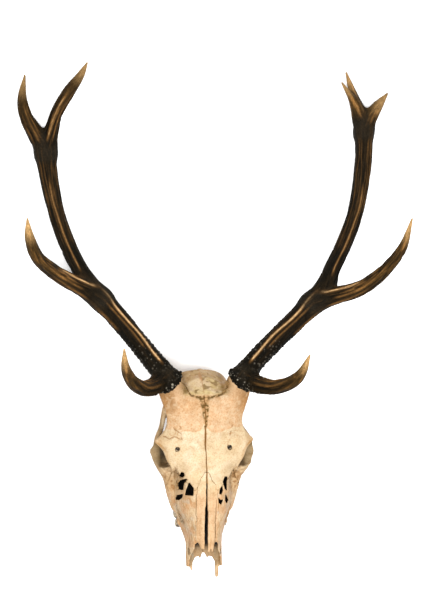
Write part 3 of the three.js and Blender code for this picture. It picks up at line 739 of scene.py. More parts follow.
def tooth(middle, axes, length, breadth, lobes):
    """A cheek tooth with a root in the jaw and crescents worn into its crown."""

    def shape(x, y, z):
        local = [x - middle[0], y - middle[1], z - middle[2]]
        u, v, w = (sum(p * a for p, a in zip(local, axis)) for axis in axes)
        phase = 2 * math.pi * lobes * u / length
        flare = 0.78 + 0.16 * np.clip(w / CROWN_HEIGHT, -1, 1)
        half = breadth / 2 * flare * (0.96 + 0.07 * np.cos(phase))
        cusp = 1.8 * np.abs(np.cos(phase / 2)) - 2.2 * np.exp(-(((np.abs(v) / breadth - 0.2) * 8) ** 2))
        d = soft_max(np.abs(u) - length / 2 + 0.35, np.abs(v) - half, 3)
        d = soft_max(d, w - CROWN_HEIGHT - cusp, 1.2)
        return np.maximum(d, -w - CROWN_HEIGHT)

    return shape


def add_cheek_teeth(grid, side):
    """Six cheek teeth in a row, the last three with two lobes each."""
    middles, axes, scale = tooth_frame(side)
    for i, (middle, (length, breadth)) in enumerate(zip(middles, TEETH)):
        lobes = 2 if i > 2 else 1
        reach = np.full(3, CROWN_HEIGHT + 10)
        grid.add(tooth(middle, axes, length * scale, breadth, lobes), middle - reach, middle + reach, 1.0)


def add_bones(grid):
    """Joins everything that is bone or tooth into the grid."""
    grid.add(loft(FACE, FACE_SQUARENESS, crown=FACE_CROWN), *FACE_BOX)
    grid.add(braincase(), *BRAINCASE_BOX, 8)
    grid.add(forehead(), *FOREHEAD_BOX, 6)
    for name, side in SIDES.items():
        top = burr_point(1, -BURR_THICKNESS / 2)
        add_bar(grid, [*PEDICLES[name], (*top, PEDICLE_TOP)], side, 16)
        add_bar(grid, RIDGE, side, 5)
        add_bar(grid, CHEEKBONES[name], side, 6, squash=1.3)
        add_bar(grid, ORBIT_FLOOR, side, 4)
        add_bar(grid, ARCHES[name], side, 4, squash=1.5)
        add_bar(grid, ORBIT_RIMS[name] + ORBIT_RIMS[name][:1], side, 4)
        add_cheek_teeth(grid, side)
        for centre, radii, soft in KNUCKLES:
            add_ellipsoid(grid, (side * centre[0], *centre[1:]), radii, soft)
        add_bar(grid, JUGULAR, side, 4)
        add_bar(grid, CREST, side, 4)
        add_bar(grid, PTERYGOID, side, 3, squash=5)
        add_bar(grid, SNOUT_TIPS[name], side, 3)


def cut_hollows(grid):
    """Opens the nose, the throat and the base of the skull along the midline."""
    nose = loft(FACE, FACE_SQUARENESS, wall=NOSE_WALL | {"floor": PALATE}, span=(NOSE_FRONT, NOSE_BACK))
    grid.cut(nose, (-60, NOSE_FRONT - 2, -100), (60, NOSE_BACK + 4, 2), 1)
    mouth = loft(FACE, FACE_SQUARENESS, wall=NOSE_WALL, span=MOUTH_SPAN)
    grid.cut(mouth, (-60, -306, -100), (60, -244, 2), 2)
    grid.cut(
        lambda x, y, z: outline_distance(MOUTH_OUTLINE, np.abs(x), y) + 0 * z,
        (-22, -306, -110), (22, -256, 14), 1.5,
    )
    for passage, soft in PASSAGES:
        cut_bar(grid, passage, soft=soft)
    slit = along([(y, half, 0) for y, half in NASAL_SLIT], 1)
    ragged = Noise(5)

    def gap(x, y, z):
        flat = np.column_stack([y.ravel() / 7, 0 * y.ravel(), 0 * y.ravel()])
        wobble = 0.7 * (ragged(flat).reshape(y.shape) - 0.5)
        return np.abs(x - midline(y) - wobble) - slit(y) + np.maximum(SLIT_FLOOR - z, 0)

    grid.cut(gap, (-8, -264, -16), (8, -126, 12), 0.6)
    add_bar(grid, VOMER, 1, 2, squash=9)


def cut_side_openings(grid, name, side):
    """Opens the orbit and what else one side has, and flattens the pedicle under the burr."""
    low, high = burr_point(side, -BURR_THICKNESS / 2 - 0.2), burr_point(side, 40)
    reach = BURR_SEAT + 2
    grid.cut(rod(low, high, BURR_SEAT), low - reach, high + reach)
    add_ellipsoid(grid, (side * ORBIT["centre"][0], *ORBIT["centre"][1:]), ORBIT["radii"], 3, cut=True)
    for passage, soft in SIDE_PASSAGES:
        cut_bar(grid, passage, side, soft)
    cut_bar(grid, [(BROW_FORAMEN[name] + x, *rest) for x, *rest in BROW_PASSAGE], side, 0.8)
    notch = np.array(NOSE_NOTCH, float)
    corners = ((12, -306, -44), (52, -228, 16)) if side > 0 else ((-52, -306, -44), (-12, -228, 16))
    grid.cut(lambda x, y, z: np.maximum(outline_distance(notch, y, z), 14.8 - side * x), *corners, 1.5)
    cut_prism(grid, NOSE_GAP, side, NOSE_GAP_FLOOR, 14, 1.5)
    for outline in VACUITIES[name]:
        cut_prism(grid, outline, side, VACUITY_FLOOR, 12, 1.2, VACUITY_GROWTH)


def whole_skull():
    """The skull before it is parted into bones."""
    grid = Grid(*SKULL_BOX, SKULL_STEP)
    add_bones(grid)
    cut_hollows(grid)
    for name, side in SIDES.items():
        cut_side_openings(grid, name, side)
    cut_at_floor(grid, *CONDYLE_BOX)
    return grid


# ---------------------------------------------------------------- the bones

WANDER = Noise(3)


def wandering(outline, side):
    """The field of an upright prism whose edge wanders as a suture does."""
    points = np.array(mirrored(outline, side), float)

    def shape(x, y):
        flat = np.stack([a.ravel() for a in np.broadcast_arrays(x, y, 0 * x)], 1)
        size = np.broadcast(x, y).shape
        dx = 2.6 * (WANDER(flat / 9) - 0.5) + 1.8 * (WANDER(flat / 3.2 + 9) - 0.5)
        dy = 2.6 * (WANDER(flat / 9 + 17) - 0.5) + 1.8 * (WANDER(flat / 3.2 + 29) - 0.5)
        calm = np.clip(np.abs(x) / 6, 0, 1)
        return outline_distance(points, x - midline(y) + calm * dx.reshape(size), y + dy.reshape(size))

    return shape


def regions(side):
    """Where each named bone of one side is, as (outline field, lowest Z, highest Z)."""
    arc = [(side * x, y) for x, y in CORONAL if side * x > 0]
    arc = [(0, -1.2), *(arc if side > 0 else arc[::-1])]
    return {
        "frontal": (wandering(arc + FRONTAL_OUTLINE, side), FRONTAL_DEPTH, FAR),
        "nasal": (wandering(NASAL_OUTLINES["left" if side > 0 else "right"], side), NASAL_DEPTH, FAR),
        "zygomatic": (wandering(ZYGOMATIC_OUTLINE, side), -200, ZYGOMATIC_TOP),
    }


def on_side(box, side):
    """A box of the stag's left, or its mirror image."""
    low, high = box
    return (low, high) if side > 0 else ((-high[0], *low[1:]), (-low[0], *high[1:]))


def region_field(region, x, y, z):
    outline, low, high = region
    flat = outline(x[:, :, 0], y[:, :, 0])[:, :, None]
    return np.maximum(np.maximum(flat, low - z), z - high)


def bone_surface(grid, low, high, inside=(), outside=()):
    """The surface of what the skull has in some regions and outside others."""
    spans, (x, y, z) = grid.window(low, high)
    d = grid.d[spans].copy()
    for region in inside:
        d = soft_max(d, region_field(region, x, y, z) + SUTURE, SUTURE_ROUNDING)
    for region in outside:
        d = soft_max(d, SUTURE - region_field(region, x, y, z), SUTURE_ROUNDING)
    pad = np.pad(d, 1, constant_values=FAR)
    step = grid.step
    axes = [np.concatenate([a[:1] - step, a, a[-1:] + step]) for a in (x.ravel(), y.ravel(), z.ravel())]
    return largest_body(*surface(pad, axes, step))


def blurred(values, half):
    """A moving average over a cube of cells, taken twice."""
    for axis in (0, 1, 2, 0, 1, 2):
        count = values.shape[axis]
        pad = [(half + 1, half) if i == axis else (0, 0) for i in range(3)]
        total = np.cumsum(np.pad(values, pad), axis=axis, dtype=np.float32)
        ends = np.take(total, range(2 * half + 1, 2 * half + 1 + count), axis)
        values = (ends - np.take(total, range(count), axis)) / (2 * half + 1)
    return values


def sample(grid, values, points):
    """Values held on a grid, read at points between the grid's own."""
    at = (points - [axis[0] for axis in grid.axes]) / grid.step
    base = np.clip(np.floor(at).astype(int), 0, np.array(grid.d.shape) - 2)
    f = np.clip(at - base, 0, 1)
    total = np.zeros(len(points))
    for corner in CORNERS:
        total += np.prod(np.where(corner, f, 1 - f), axis=1) * values[tuple((base + corner).T)]
    return total


# ---------------------------------------------------------------- colours


def srgb(r, g, b):
    c = np.array([r, g, b]) / 255
    return np.where(c <= 0.04045, c / 12.92, ((c + 0.055) / 1.055) ** 2.4)


CREAM = srgb(228, 204, 166)
IVORY = srgb(234, 213, 180)
PINK = srgb(222, 182, 140)
PARIETAL = srgb(214, 192, 142)
# Olive serves the bone's own stains and pits, and painted shade in hollows, in the nose and on the dome's
# sides.
OLIVE = srgb(116, 90, 42)
# Tan serves the bone's own tone, and painted shade on slopes, undersides and behind the dome's crest.
TAN = srgb(188, 148, 98)
RUST = srgb(204, 146, 88)
# Umber serves cracks and pits, and painted shade on the temples.
UMBER = srgb(158, 112, 62)
BROWN_CRACK = srgb(166, 118, 60)
# Painted shade deep in the orbits.
ORBIT_SHADE_OLIVE = srgb(52, 37, 8)
# Near black: painted shade in hollows and in the nose, and dark stains on the teeth.
HOLLOW_SHADE_AND_STAIN = srgb(26, 18, 10)
# Painted shade inside the foramina of the brows.
FORAMEN_SHADE_GREY = srgb(74, 70, 66)
ASH = srgb(206, 198, 180)
ENAMEL = srgb(214, 200, 168)


def step_up(values, low, high):
    """A smooth step from 0 at low to 1 at high."""
    t = np.clip((values - low) / (high - low), 0, 1)
    return t * t * (3 - 2 * t)


def hump(values, middle, half):
    """A smooth hump, 1 at the middle."""
    return np.exp(-(((values - middle) / half) ** 2))


def mix(a, b, share):
    return a + (b - a) * np.clip(share, 0, 1)[:, None]


class Paint:
    """The colour of each point, as tones laid over each other."""

    def __init__(self, tone, count):
        self.tones = np.repeat(tone[None], count, 0)

    def lay(self, tone, share):
        self.tones = mix(self.tones, tone, share)


BLOTCH = Noise(11)
GRAIN = Noise(23)


def veins(noise, p, width):
    """Thin winding lines, 1 on a line."""
    return hump(noise(p) + 0.35 * noise(2.3 * p + 5), 0.675, width)


class Spots:
    """Where points of bone lie and face, and how blotched and grainy the bone is there."""

    def __init__(self, p, normals):
        self.p = p
        self.normals = normals
        self.x, self.y, self.z = p.T
        self.out = np.abs(self.x)
        self.off_middle = self.x - midline(self.y)
        fibrous = [self.x / 2.6, self.y / 34, self.z / 2.6]
        self.blotch = BLOTCH.layered(p / 16)
        self.fine = GRAIN.layered(p / 4.5)
        self.fibres = GRAIN.layered(np.column_stack(fibrous) + 60)
        self.snout = step_up(-self.y, 135, 175)
        lobe = np.interp(self.off_middle, STAIN[:, 0], STAIN[:, 1])
        self.past_stain = self.y - lobe + 1.6 * (GRAIN(p / 5) - 0.5)
        self.stained = step_up(self.past_stain, -1.2, 0.8) * (self.z > -60)
        self.lacrimal = lacrimal_mask(p)
        self.spongy = np.maximum(wedge_mask(p), coronal_mask(p))


def wedge_mask(p):
    """The open, spongy bone along the suture between the frontals."""
    x, y, _ = p.T
    half = 1.4 + 8.2 * np.clip((y + 50) / 52, 0, 1) + 1.6 * (GRAIN(p / 3 + 9) - 0.5)
    across = 1 - step_up(np.abs(x - midline(y)), 0.7 * half, half + 1.2)
    return across * step_up(y, -60, -44) * (1 - step_up(y, 0, 4))


def coronal_mask(p):
    """The knobbly suture between the frontals and the braincase."""
    x, y, z = p.T
    arc = np.interp(x - midline(y), *np.array(CORONAL).T)
    return hump(y, arc, 2.4) * (1 - step_up(np.abs(x), 36, 44)) * step_up(z, -28, -16)


def crack_mask(p):
    """The crack between the frontals, in front of the spongy wedge."""
    x, y, z = p.T
    rows = np.array(CRACK)
    half = np.interp(y, rows[:, 0], rows[:, 1])
    wobble = 0.8 * (GRAIN(np.column_stack([y / 5, 0 * y, 0 * y])) - 0.5)
    return hump(x, midline(y) + wobble, np.maximum(half, 0.1)) * (half > 0.15) * step_up(z, -14, -8)


def thin_cracks(p):
    """1 on the thin cracks of the frontals, 0 away from them."""
    x, y, z = p.T
    warp = 1.8 * (GRAIN(p / 4 + 15) - 0.5)
    best = np.full(len(p), 99.0)
    for crack in CRACKS:
        for (x0, y0), (x1, y1) in zip(crack[:-1], crack[1:]):
            ex, ey = x1 - x0, y1 - y0
            t = np.clip(((x - x0) * ex + (y - y0) * ey) / (ex * ex + ey * ey), 0, 1)
            best = np.minimum(best, np.hypot(x - x0 - t * ex + warp, y - y0 - t * ey + warp))
    return hump(best, 0, 0.9) * (z > -25) * step_up(GRAIN(p / 6 + 33), 0.25, 0.5)


def lacrimal_mask(p):
    """The pitted bone in front of each orbit."""
    x, y, z = p.T
    return hump(np.abs(x), 56, 13) * hump(y, -140, 22) * (z > -75)


def bone_relief(p, normals):
    """How far the bone's surface rises at points, in millimetres."""
    x, y, z = p.T
    out = np.abs(x)
    rise = 1.0 * (BLOTCH.layered(p / 22) - 0.5) + 0.4 * (GRAIN.layered(p / 6) - 0.5)
    knobs = coronal_mask(p)
    pits = step_up(GRAIN(p / 2.8 + 40), 0.45, 0.68)
    rise = rise - pits * (1.1 * wedge_mask(p) + 0.9 * knobs) + 0.8 * knobs * GRAIN(p / 3.5 + 3)
    rise = rise - 0.45 * crack_mask(p) - 0.6 * thin_cracks(p)
    outer = step_up(normals[:, 2] + 0.6 * np.abs(normals[:, 0]), 0.2, 0.6)
    tear_pit = hump(out, 47, 9) * hump(y, -143, 15) * hump(z, -30, 16)
    flank = hump(y, -208, 26) * hump(z, -38, 14) * step_up(out, 16, 26)
    groove = hump(out, 13.5, 3) * step_up(-y, 160, 185) * step_up(z, -14, -8)
    temple = hump(out, 36, 9) * hump(y, 12, 15) * step_up(z, -40, -20)
    rise = rise - outer * (2.4 * tear_pit + 1.6 * flank + 0.6 * groove + 1.5 * temple)
    dome = step_up(y, 3, 9) * (1 - step_up(out, 28, 40))
    crest = hump(y, 30 - 0.012 * x * x, 3.5)
    furrow = hump(x - midline(y), 0, 2.2)
    rise = rise + outer * dome * (1.3 * crest - 0.9 * furrow + 1.4 * (BLOTCH(p / 8) - 0.5))
    fibres = GRAIN.layered(np.column_stack([x / 2.4, y / 26, z / 2.4]) + 60)
    rise = rise + 0.35 * (fibres - 0.5) * step_up(-y, 70, 120)
    rise = rise - 1.8 * outer * lacrimal_mask(p) * step_up(GRAIN(p / 4 + 90), 0.52, 0.72)
    lines = veins(WANDER, p / 17 + 11, 0.02) * hump(out, 42, 13) * hump(y, -58, 20)
    return rise - 0.6 * lines * outer


def paint_forehead(paint, at):
    """Pale frontals with a pink stain whose front edge runs in two lobes."""
    y, z, out = at.y, at.z, at.out
    paint.lay(IVORY, step_up(at.blotch, 0.4, 0.65))
    paint.lay(PINK, at.stained * (0.72 + 0.4 * (at.fine - 0.5)))
    paint.lay(RUST, 0.28 * hump(at.past_stain, 1.2, 1.6) * (out < 44) * (z > -40))
    paint.lay(RUST, 0.5 * at.stained * step_up(GRAIN(at.p / 1.9 + 70), 0.72, 0.85) * (y < 0))
    paint.lay(TAN, 0.75 * step_up(out, 48, 72) * step_up(y, -50, -20) * (0.6 + 0.6 * at.blotch))


def paint_dome(paint, at):
    """The braincase between the antlers, blotched with olive, with painted shade of olive where its sides
    sink and of tan just behind its crest.
    """
    p, x, y, z, out = at.p, at.x, at.y, at.z, at.out
    paint.lay(PARIETAL, step_up(y, 0, 7) * step_up(34 - out, -6, 4))
    paint.lay(IVORY, 0.8 * step_up(y, 4, 8) * hump(x, -9, 11) * hump(y, 22, 10))
    # Painted shade of olive in the hollow between the dome and each pedicle, broken by blotches.
    paint.lay(OLIVE, 0.5 * hump(out, 36, 8) * hump(y, 14, 12) * (z > -50) * (0.5 + at.blotch))
    dome = step_up(y, 4, 8) * (1 - step_up(out, 30, 42)) * (z > -60)
    paint.lay(IVORY, 0.8 * dome * step_up(BLOTCH(p / 7 + 40), 0.5, 0.66))
    paint.lay(OLIVE, 0.75 * dome * step_up(GRAIN(p / 5 + 12), 0.56, 0.74))
    # Painted shade of olive along the dome's sinking edges.
    paint.lay(OLIVE, 0.9 * dome * hump(out, 31, 5.2) * (0.4 + at.blotch))
    # Painted shade of tan just behind the crest, where the surface falls away, broken into brownish spots.
    paint.lay(TAN, 0.5 * dome * hump(y, 36 - 0.012 * x * x, 3) * (at.fine > 0.4))
    paint.lay(BROWN_CRACK, 0.55 * dome * hump(at.off_middle, 0, 0.8))
    paint.lay(RUST, 0.9 * hump(x, -4, 2.5) * hump(y, 32, 6) * (z > -60))


def paint_snout(paint, at):
    """Fibrous pink and ashen maxillae, and pink nasals."""
    p, y, out, snout, fibres = at.p, at.y, at.out, at.snout, at.fibres
    flush = 0.3 + 0.9 * step_up(BLOTCH(p / 11 + 4), 0.4, 0.7)
    paint.lay(PINK, snout * flush * step_up(out, 11, 20))
    paint.lay(ASH, 0.55 * snout * step_up(BLOTCH(p / 9 + 30), 0.62, 0.78) * (out > 16))
    paint.lay(RUST, 0.6 * snout * step_up(fibres, 0.54, 0.7))
    paint.lay(TAN, 0.8 * snout * step_up(-fibres, -0.44, -0.32))
    nasals = (out < 17) * step_up(-y, 140, 175)
    paint.lay(PINK, 0.85 * nasals * (0.6 + 0.6 * at.blotch))


def paint_flanks(paint, at):
    """Veined sides, olive arches, and painted shade: tan on slopes that turn from the top and on the
    underside, umber on the temples.
    """
    p, x, y, z, out, blotch = at.p, at.x, at.y, at.z, at.out, at.blotch
    network = veins(WANDER, p / 13 + 21, 0.02) + 0.7 * veins(GRAIN, p / 7 + 8, 0.02)
    sides = hump(out, 46, 15) * (hump(y, -60, 16) + hump(y, -150, 22)) * (z > -58)
    paint.lay(RUST, 0.8 * network * sides)
    paint.lay(TAN, 0.3 * network * (at.fine > 0.4))
    # Painted shade of tan where the surface turns away from the top, weaker on the snout.
    slope_shade = step_up(1 - at.normals[:, 2], 0.12, 0.75) * (1 - 0.75 * at.snout)
    paint.lay(TAN, slope_shade * (0.3 + 0.6 * blotch))
    # Painted shade of umber on the temples, stronger on the stag's right.
    temples = step_up(out, 38, 58) * hump(y, -4, 26) * (z > -40)
    paint.lay(UMBER, temples * np.where(x < 0, 0.8, 0.6) * (0.6 + 0.7 * blotch))
    arch = step_up(out, 62, 68) * hump(y, -42, 26) * (1 - step_up(z, -52, -40))
    paint.lay(OLIVE, 0.75 * arch * (0.5 + 0.8 * blotch))
    paint.lay(RUST, 0.22 * at.stained * step_up(BLOTCH(p / 5 + 50), 0.5, 0.72) * (y < 4))
    paint.lay(IVORY, 0.3 * at.stained * step_up(BLOTCH(p / 4 + 61), 0.55, 0.74) * (y < 4))
    # Painted shade of tan on surfaces that face down.
    below = step_up(-at.normals[:, 2], 0.1, 0.8)
    paint.lay(TAN, below * (0.35 + 0.4 * blotch))


def paint_cracks(paint, at):
    """Olive pits along the spongy sutures, and brown cracks."""
    paint.lay(TAN, 0.7 * at.spongy)
    paint.lay(OLIVE, at.spongy * step_up(GRAIN(at.p / 2.8 + 40), 0.36, 0.58))
    paint.lay(BROWN_CRACK, np.minimum(1, 1.5 * crack_mask(at.p)))
    paint.lay(UMBER, 0.95 * thin_cracks(at.p))


def paint_orbits(paint, at):
    """Orbits darkened with painted shade, tan rims, olive cheekbones behind, and pitted bone in front."""
    p, y, z, out, blotch = at.p, at.y, at.z, at.out, at.blotch
    reach = zip((out, y, z), ORBIT["centre"], ORBIT["radii"])
    eye = np.sqrt(sum(((a - c) / (r + 2)) ** 2 for a, c, r in reach))
    # Painted shade deep in each orbit, away from its outer edge.
    socket_shade = (1 - step_up(eye, 0.9, 1.08)) * step_up(77 - out, 0, 9)
    paint.lay(ORBIT_SHADE_OLIVE, socket_shade * (0.85 + 0.3 * blotch))
    rim = hump(eye, 1.08, 0.07) * step_up(z, -30, -20) + hump(out, 74, 6) * hump(y, -72, 12)
    paint.lay(TAN, 0.6 * rim)
    ring = step_up(out, 66, 73) * step_up(-y, 66, 80) * (1 - step_up(-y, 100, 128))
    ring = ring * (1 - step_up(z, -40, -26))
    paint.lay(OLIVE, ring * (0.45 + 0.5 * blotch))
    paint.lay(TAN, 0.7 * at.lacrimal)
    paint.lay(UMBER, 0.75 * at.lacrimal * step_up(GRAIN(p / 4 + 90), 0.55, 0.7))


def paint_shade_in_hollows(paint, at, grid, filled):
    """Painted shade deep between bones, inside the nose and in the foramina of the brows."""
    p, x, y, z, out, normals = at.p, at.x, at.y, at.z, at.out, at.normals
    # Painted shade where other bone closes round a point: olive, and near black where it closes most.
    shut = sample(grid, filled, p + 2.5 * normals)
    paint.lay(OLIVE, 0.75 * step_up(shut, 0.56, 0.82))
    paint.lay(HOLLOW_SHADE_AND_STAIN, 0.8 * step_up(shut, 0.72, 0.95))
    # Painted shade inside the nose: near black from a little behind its front, olive at the front.
    inner = loft(FACE, FACE_SQUARENESS, wall={"roof": 1.5, "floor": 4, "side": 1.5})(x, y, z)
    nose = (out < 52) & (y < -108) & (sample(grid, grid.d, p + 2 * normals) > 0)
    deep = np.where(nose, step_up(-inner, 0, 2.5), 0)
    behind = step_up(y, -262, -244)
    paint.lay(HOLLOW_SHADE_AND_STAIN, deep * behind)
    paint.lay(OLIVE, 0.5 * deep * (1 - behind))
    # Painted shade of grey inside the foramina of the brows.
    hole = np.hypot(out - np.where(x > 0, BROW_FORAMEN["left"], BROW_FORAMEN["right"]), y - BROW_FORAMEN_Y)
    rim = sample(grid, grid.d, p + 2.5 * normals + np.array([0, 0, 2.5])) < 3.2
    paint.lay(FORAMEN_SHADE_GREY, (1 - step_up(hole, 4.6, 6.2)) * step_up(z, -20, -14) * (z < 2) * rim)


def paint_teeth(paint, p):
    """Enamel with olive and dark stains on both tooth rows."""
    for side in SIDES.values():
        middles, (backwards, inwards, down), _ = tooth_frame(side)
        local = p - middles[3]
        crown = step_up(local @ down, -8, -4) * (np.abs(local @ backwards) < 76)
        crown = crown * (1 - step_up(np.abs(local @ inwards), 12, 14))
        paint.lay(ENAMEL, 0.9 * crown)
        paint.lay(OLIVE, 0.95 * crown * step_up(GRAIN(p / 3.4 + 3), 0.42, 0.58))
        paint.lay(HOLLOW_SHADE_AND_STAIN, 0.8 * crown * step_up(GRAIN(p / 3 + 33), 0.5, 0.7))


def bone_piece(name, grid, filled, points, quads, nodes, material):
    """One bone with its relief and paint, both calm along its seams."""
    seam = step_up(-sample(grid, grid.d, points), 0.5, 1.5)
    normals = vertex_normals(points, quads)
    points = points + normals * (bone_relief(points, normals) * (1 - seam))[:, None]
    at = Spots(points, vertex_normals(points, quads))
    paint = Paint(CREAM, len(points))
    for layer in (paint_forehead, paint_dome, paint_snout, paint_flanks, paint_cracks, paint_orbits):
        layer(paint, at)
    paint_shade_in_hollows(paint, at, grid, filled)
    paint.lay(TAN, 0.5 * seam)
    paint_teeth(paint, points)
    return make_piece(name, points, quads, paint.tones, material, nodes)


def make_skull(material):
    """The skull's nine bones, each cut out of the whole skull."""
    grid = whole_skull()
    filled = blurred((grid.d < 0).astype(np.float32), round(3 / grid.step))
    every = [region for side in SIDES.values() for region in regions(side).values()]
    front = (lambda x, y: y - FACE_BACK + 0 * x, -200, FAR)
    gape = (lambda x, y: outline_distance(np.array(LIP_OUTLINE, float), x, y), LIP_FLOOR, FAR)

    def make_bone(bone, box, nodes, slot, **parts):
        points, quads = bone_surface(grid, *box, **parts)
        bone_piece(f"bone_{bone}", grid, filled, points, quads, nodes, material)

    for name, side in SIDES.items():
        own = regions(side)
        for bone, (box, slot) in BONES.items():
            node = f"{bone}_{name}"
            make_bone(node, on_side(box, side), [node], slot, inside=[own[bone]])
        half = (lambda x, y: side * (midline(y) - x), -200, FAR)
        node = f"maxilla_{name}"
        box = on_side(MAXILLA_BOX, side)
        make_bone(node, box, [node], "bone", inside=[half, front], outside=[*every, gape])
    back = (lambda x, y: FACE_BACK - y + 0 * x, -200, FAR)
    make_bone("braincase", BACK_BOX, ["braincase"], "braincase_bone", inside=[back], outside=every)


# ---------------------------------------------------------------- the antlers


class Branch:
    """One branch of an antler: its middle line with a direction for each angle round it."""

    CHUNK = 20000  # points located at a time

    def __init__(self, stations, side, skin):
        self.points = path(mirrored(stations, side), 3.0)
        centres = self.points[:, :3]
        self.tangents = np.gradient(centres, axis=0)
        self.tangents /= np.linalg.norm(self.tangents, axis=1, keepdims=True)
        self.s = np.concatenate([[0], np.cumsum(np.linalg.norm(np.diff(centres, axis=0), axis=1))])
        self.points[:, 3] += skin * np.clip((self.s[-1] - self.s) / SKIN_TAPER, 0, 1)
        front = np.array([0, 0, 1.0])
        fronts = []
        for tangent in self.tangents:
            front = front - tangent * (front @ tangent)
            front /= np.linalg.norm(front)
            fronts.append(front)
        self.fronts = np.array(fronts)
        self.outs = side * np.cross(self.tangents, self.fronts)

    def locate(self, p):
        """For points near the branch: distance along it, angle round it, radius and distance to it."""
        nearest = np.empty(len(p), int)
        for start in range(0, len(p), self.CHUNK):
            chunk = p[start : start + self.CHUNK]
            away = ((chunk[:, None] - self.points[None, :, :3]) ** 2).sum(2)
            nearest[start : start + self.CHUNK] = away.argmin(1)
        offset = p - self.points[nearest, :3]
        onward = (offset * self.tangents[nearest]).sum(1)
        s = self.s[nearest] + onward
        radius = np.interp(s, self.s, self.points[:, 3])
        across = offset - onward[:, None] * self.tangents[nearest]
        angle = np.arctan2((across * self.outs[nearest]).sum(1), (across * self.fronts[nearest]).sum(1))
        past = np.maximum(0, s - self.s[-1]) + np.maximum(0, -s)
        return s, angle, radius, np.hypot(np.linalg.norm(across, axis=1), past) - radius


# How each branch looks: how light its ridges are and how far along they get there, how strong its pearls
# are and where they start to fade, how strong the painted highlight on its worn ridges is, how long and how
# pale its tip is, and the worn ridges, pale from wear and carrying that painted highlight, as (angle, half
# width, start, end, strength). An angle is counted round the branch, 0 facing forward and above 0 outwards.
LOOKS = {
    "beam": {
        "tone": 0.1, "tone_by": 0.9, "pearls": 1.0, "pearls_to": 70, "highlight": 1.0, "tip": 10, "pale": 0,
        "streaks": [
            (-0.62, 2.2, 22, 205, 1.0), (-0.1, 1.5, 60, 190, 0.45), (0.95, 3.5, 110, 215, 0.4),
            (0.1, 1.5, 225, 400, 0.6), (-0.75, 1.1, 300, 560, 0.2), (0.75, 1.2, 340, 560, 0.24),
            (-0.3, 0.9, 330, 520, 0.18), (0.45, 0.9, 300, 540, 0.22),
        ],
    },
    "brow": {
        "tone": 0.75, "tone_by": 0.6, "pearls": 0.7, "pearls_to": 12, "highlight": 0.5, "tip": 50, "pale": 1.0,
        "streaks": [(-0.9, 2.2, 40, 150, 0.6), (0.3, 1.8, 30, 130, 0.4)],
    },
    "mid": {
        "tone": 0.75, "tone_by": 0.6, "pearls": 0.1, "pearls_to": 5, "highlight": 0.8, "tip": 50, "pale": 1.0,
        "streaks": [(-0.85, 2.4, 12, 120, 0.85), (0.9, 2.2, 20, 120, 0.5), (0.1, 1.6, 40, 150, 0.5)],
    },
    "outer": {
        "tone": 0.55, "tone_by": 0.6, "pearls": 0.1, "pearls_to": 5, "highlight": 0.6, "tip": 45, "pale": 0.6,
        "streaks": [(0.0, 1.8, 15, 70, 0.45), (0.8, 1.4, 15, 70, 0.3)],
    },
    "inner": {
        "tone": 0.55, "tone_by": 0.6, "pearls": 0.1, "pearls_to": 5, "highlight": 0.8, "tip": 45, "pale": 0.6,
        "streaks": [(0.2, 2.0, 18, 120, 0.7), (-0.6, 1.4, 18, 120, 0.4)],
    },
    "rear": {
        "tone": 0.8, "tone_by": 0.4, "pearls": 0.1, "pearls_to": 5, "highlight": 0.6, "tip": 35, "pale": 0.6,
        "streaks": [(0.0, 2.2, 5, 60, 0.6)],
    },
}
NO_TIP = 200.0  # what a beam has from every point to its tip, as its crown hides its end
DARK = srgb(19, 16, 9)
BROWN = srgb(76, 55, 26)
RIDGE_TAN = srgb(158, 112, 60)
# Colour of the painted highlight along the worn ridges.
PEACH_HIGHLIGHT = srgb(226, 184, 132)
TIP = srgb(204, 162, 106)
WEB = srgb(44, 38, 28)
PEARL = srgb(186, 176, 156)


class Beads:
    """Round grains scattered through space: how far up a grain a point is, from 0 to 1."""

    SIZE = 32

    def __init__(self, seed):
        random = np.random.default_rng(seed)
        self.places = random.random((self.SIZE,) * 3 + (3,))
        self.sizes = random.random((self.SIZE,) * 3)

    def __call__(self, p, share):
        base = np.floor(p - 0.5).astype(int)
        best = np.zeros(len(p))
        for corner in CORNERS:
            cell = base + corner
            at = tuple((cell % self.SIZE).T)
            away = np.linalg.norm(p - cell - 0.2 - 0.6 * self.places[at], axis=1)
            radius = 0.28 + 0.3 * self.sizes[at]
            dome = np.sqrt(np.clip(1 - (away / radius) ** 2, 0, 1)) * (self.sizes[at] > 1 - share)
            best = np.maximum(best, dome)
        return best


FLUTE = Noise(31)
PEARLS = Beads(47)


def worn_ridges_and_highlights(look, s, angle, radius):
    """1 along the middle of each worn ridge of a branch, 0 away from them; the ridges carry a painted
    highlight as well as their wear.
    """
    worn = np.zeros(len(s))
    for middle, half, start, end, strength in look["streaks"]:
        along_it = step_up(s, start, start + 18) * (1 - step_up(s, end - 30, end))
        bend = 0.3 * (FLUTE(np.column_stack([s / 45, 0 * s, 0 * s + 3 * middle])) - 0.5)
        arc = (angle - middle - bend) * radius / half
        worn = np.maximum(worn, strength * np.exp(-(arc**2)) * along_it)
    return worn


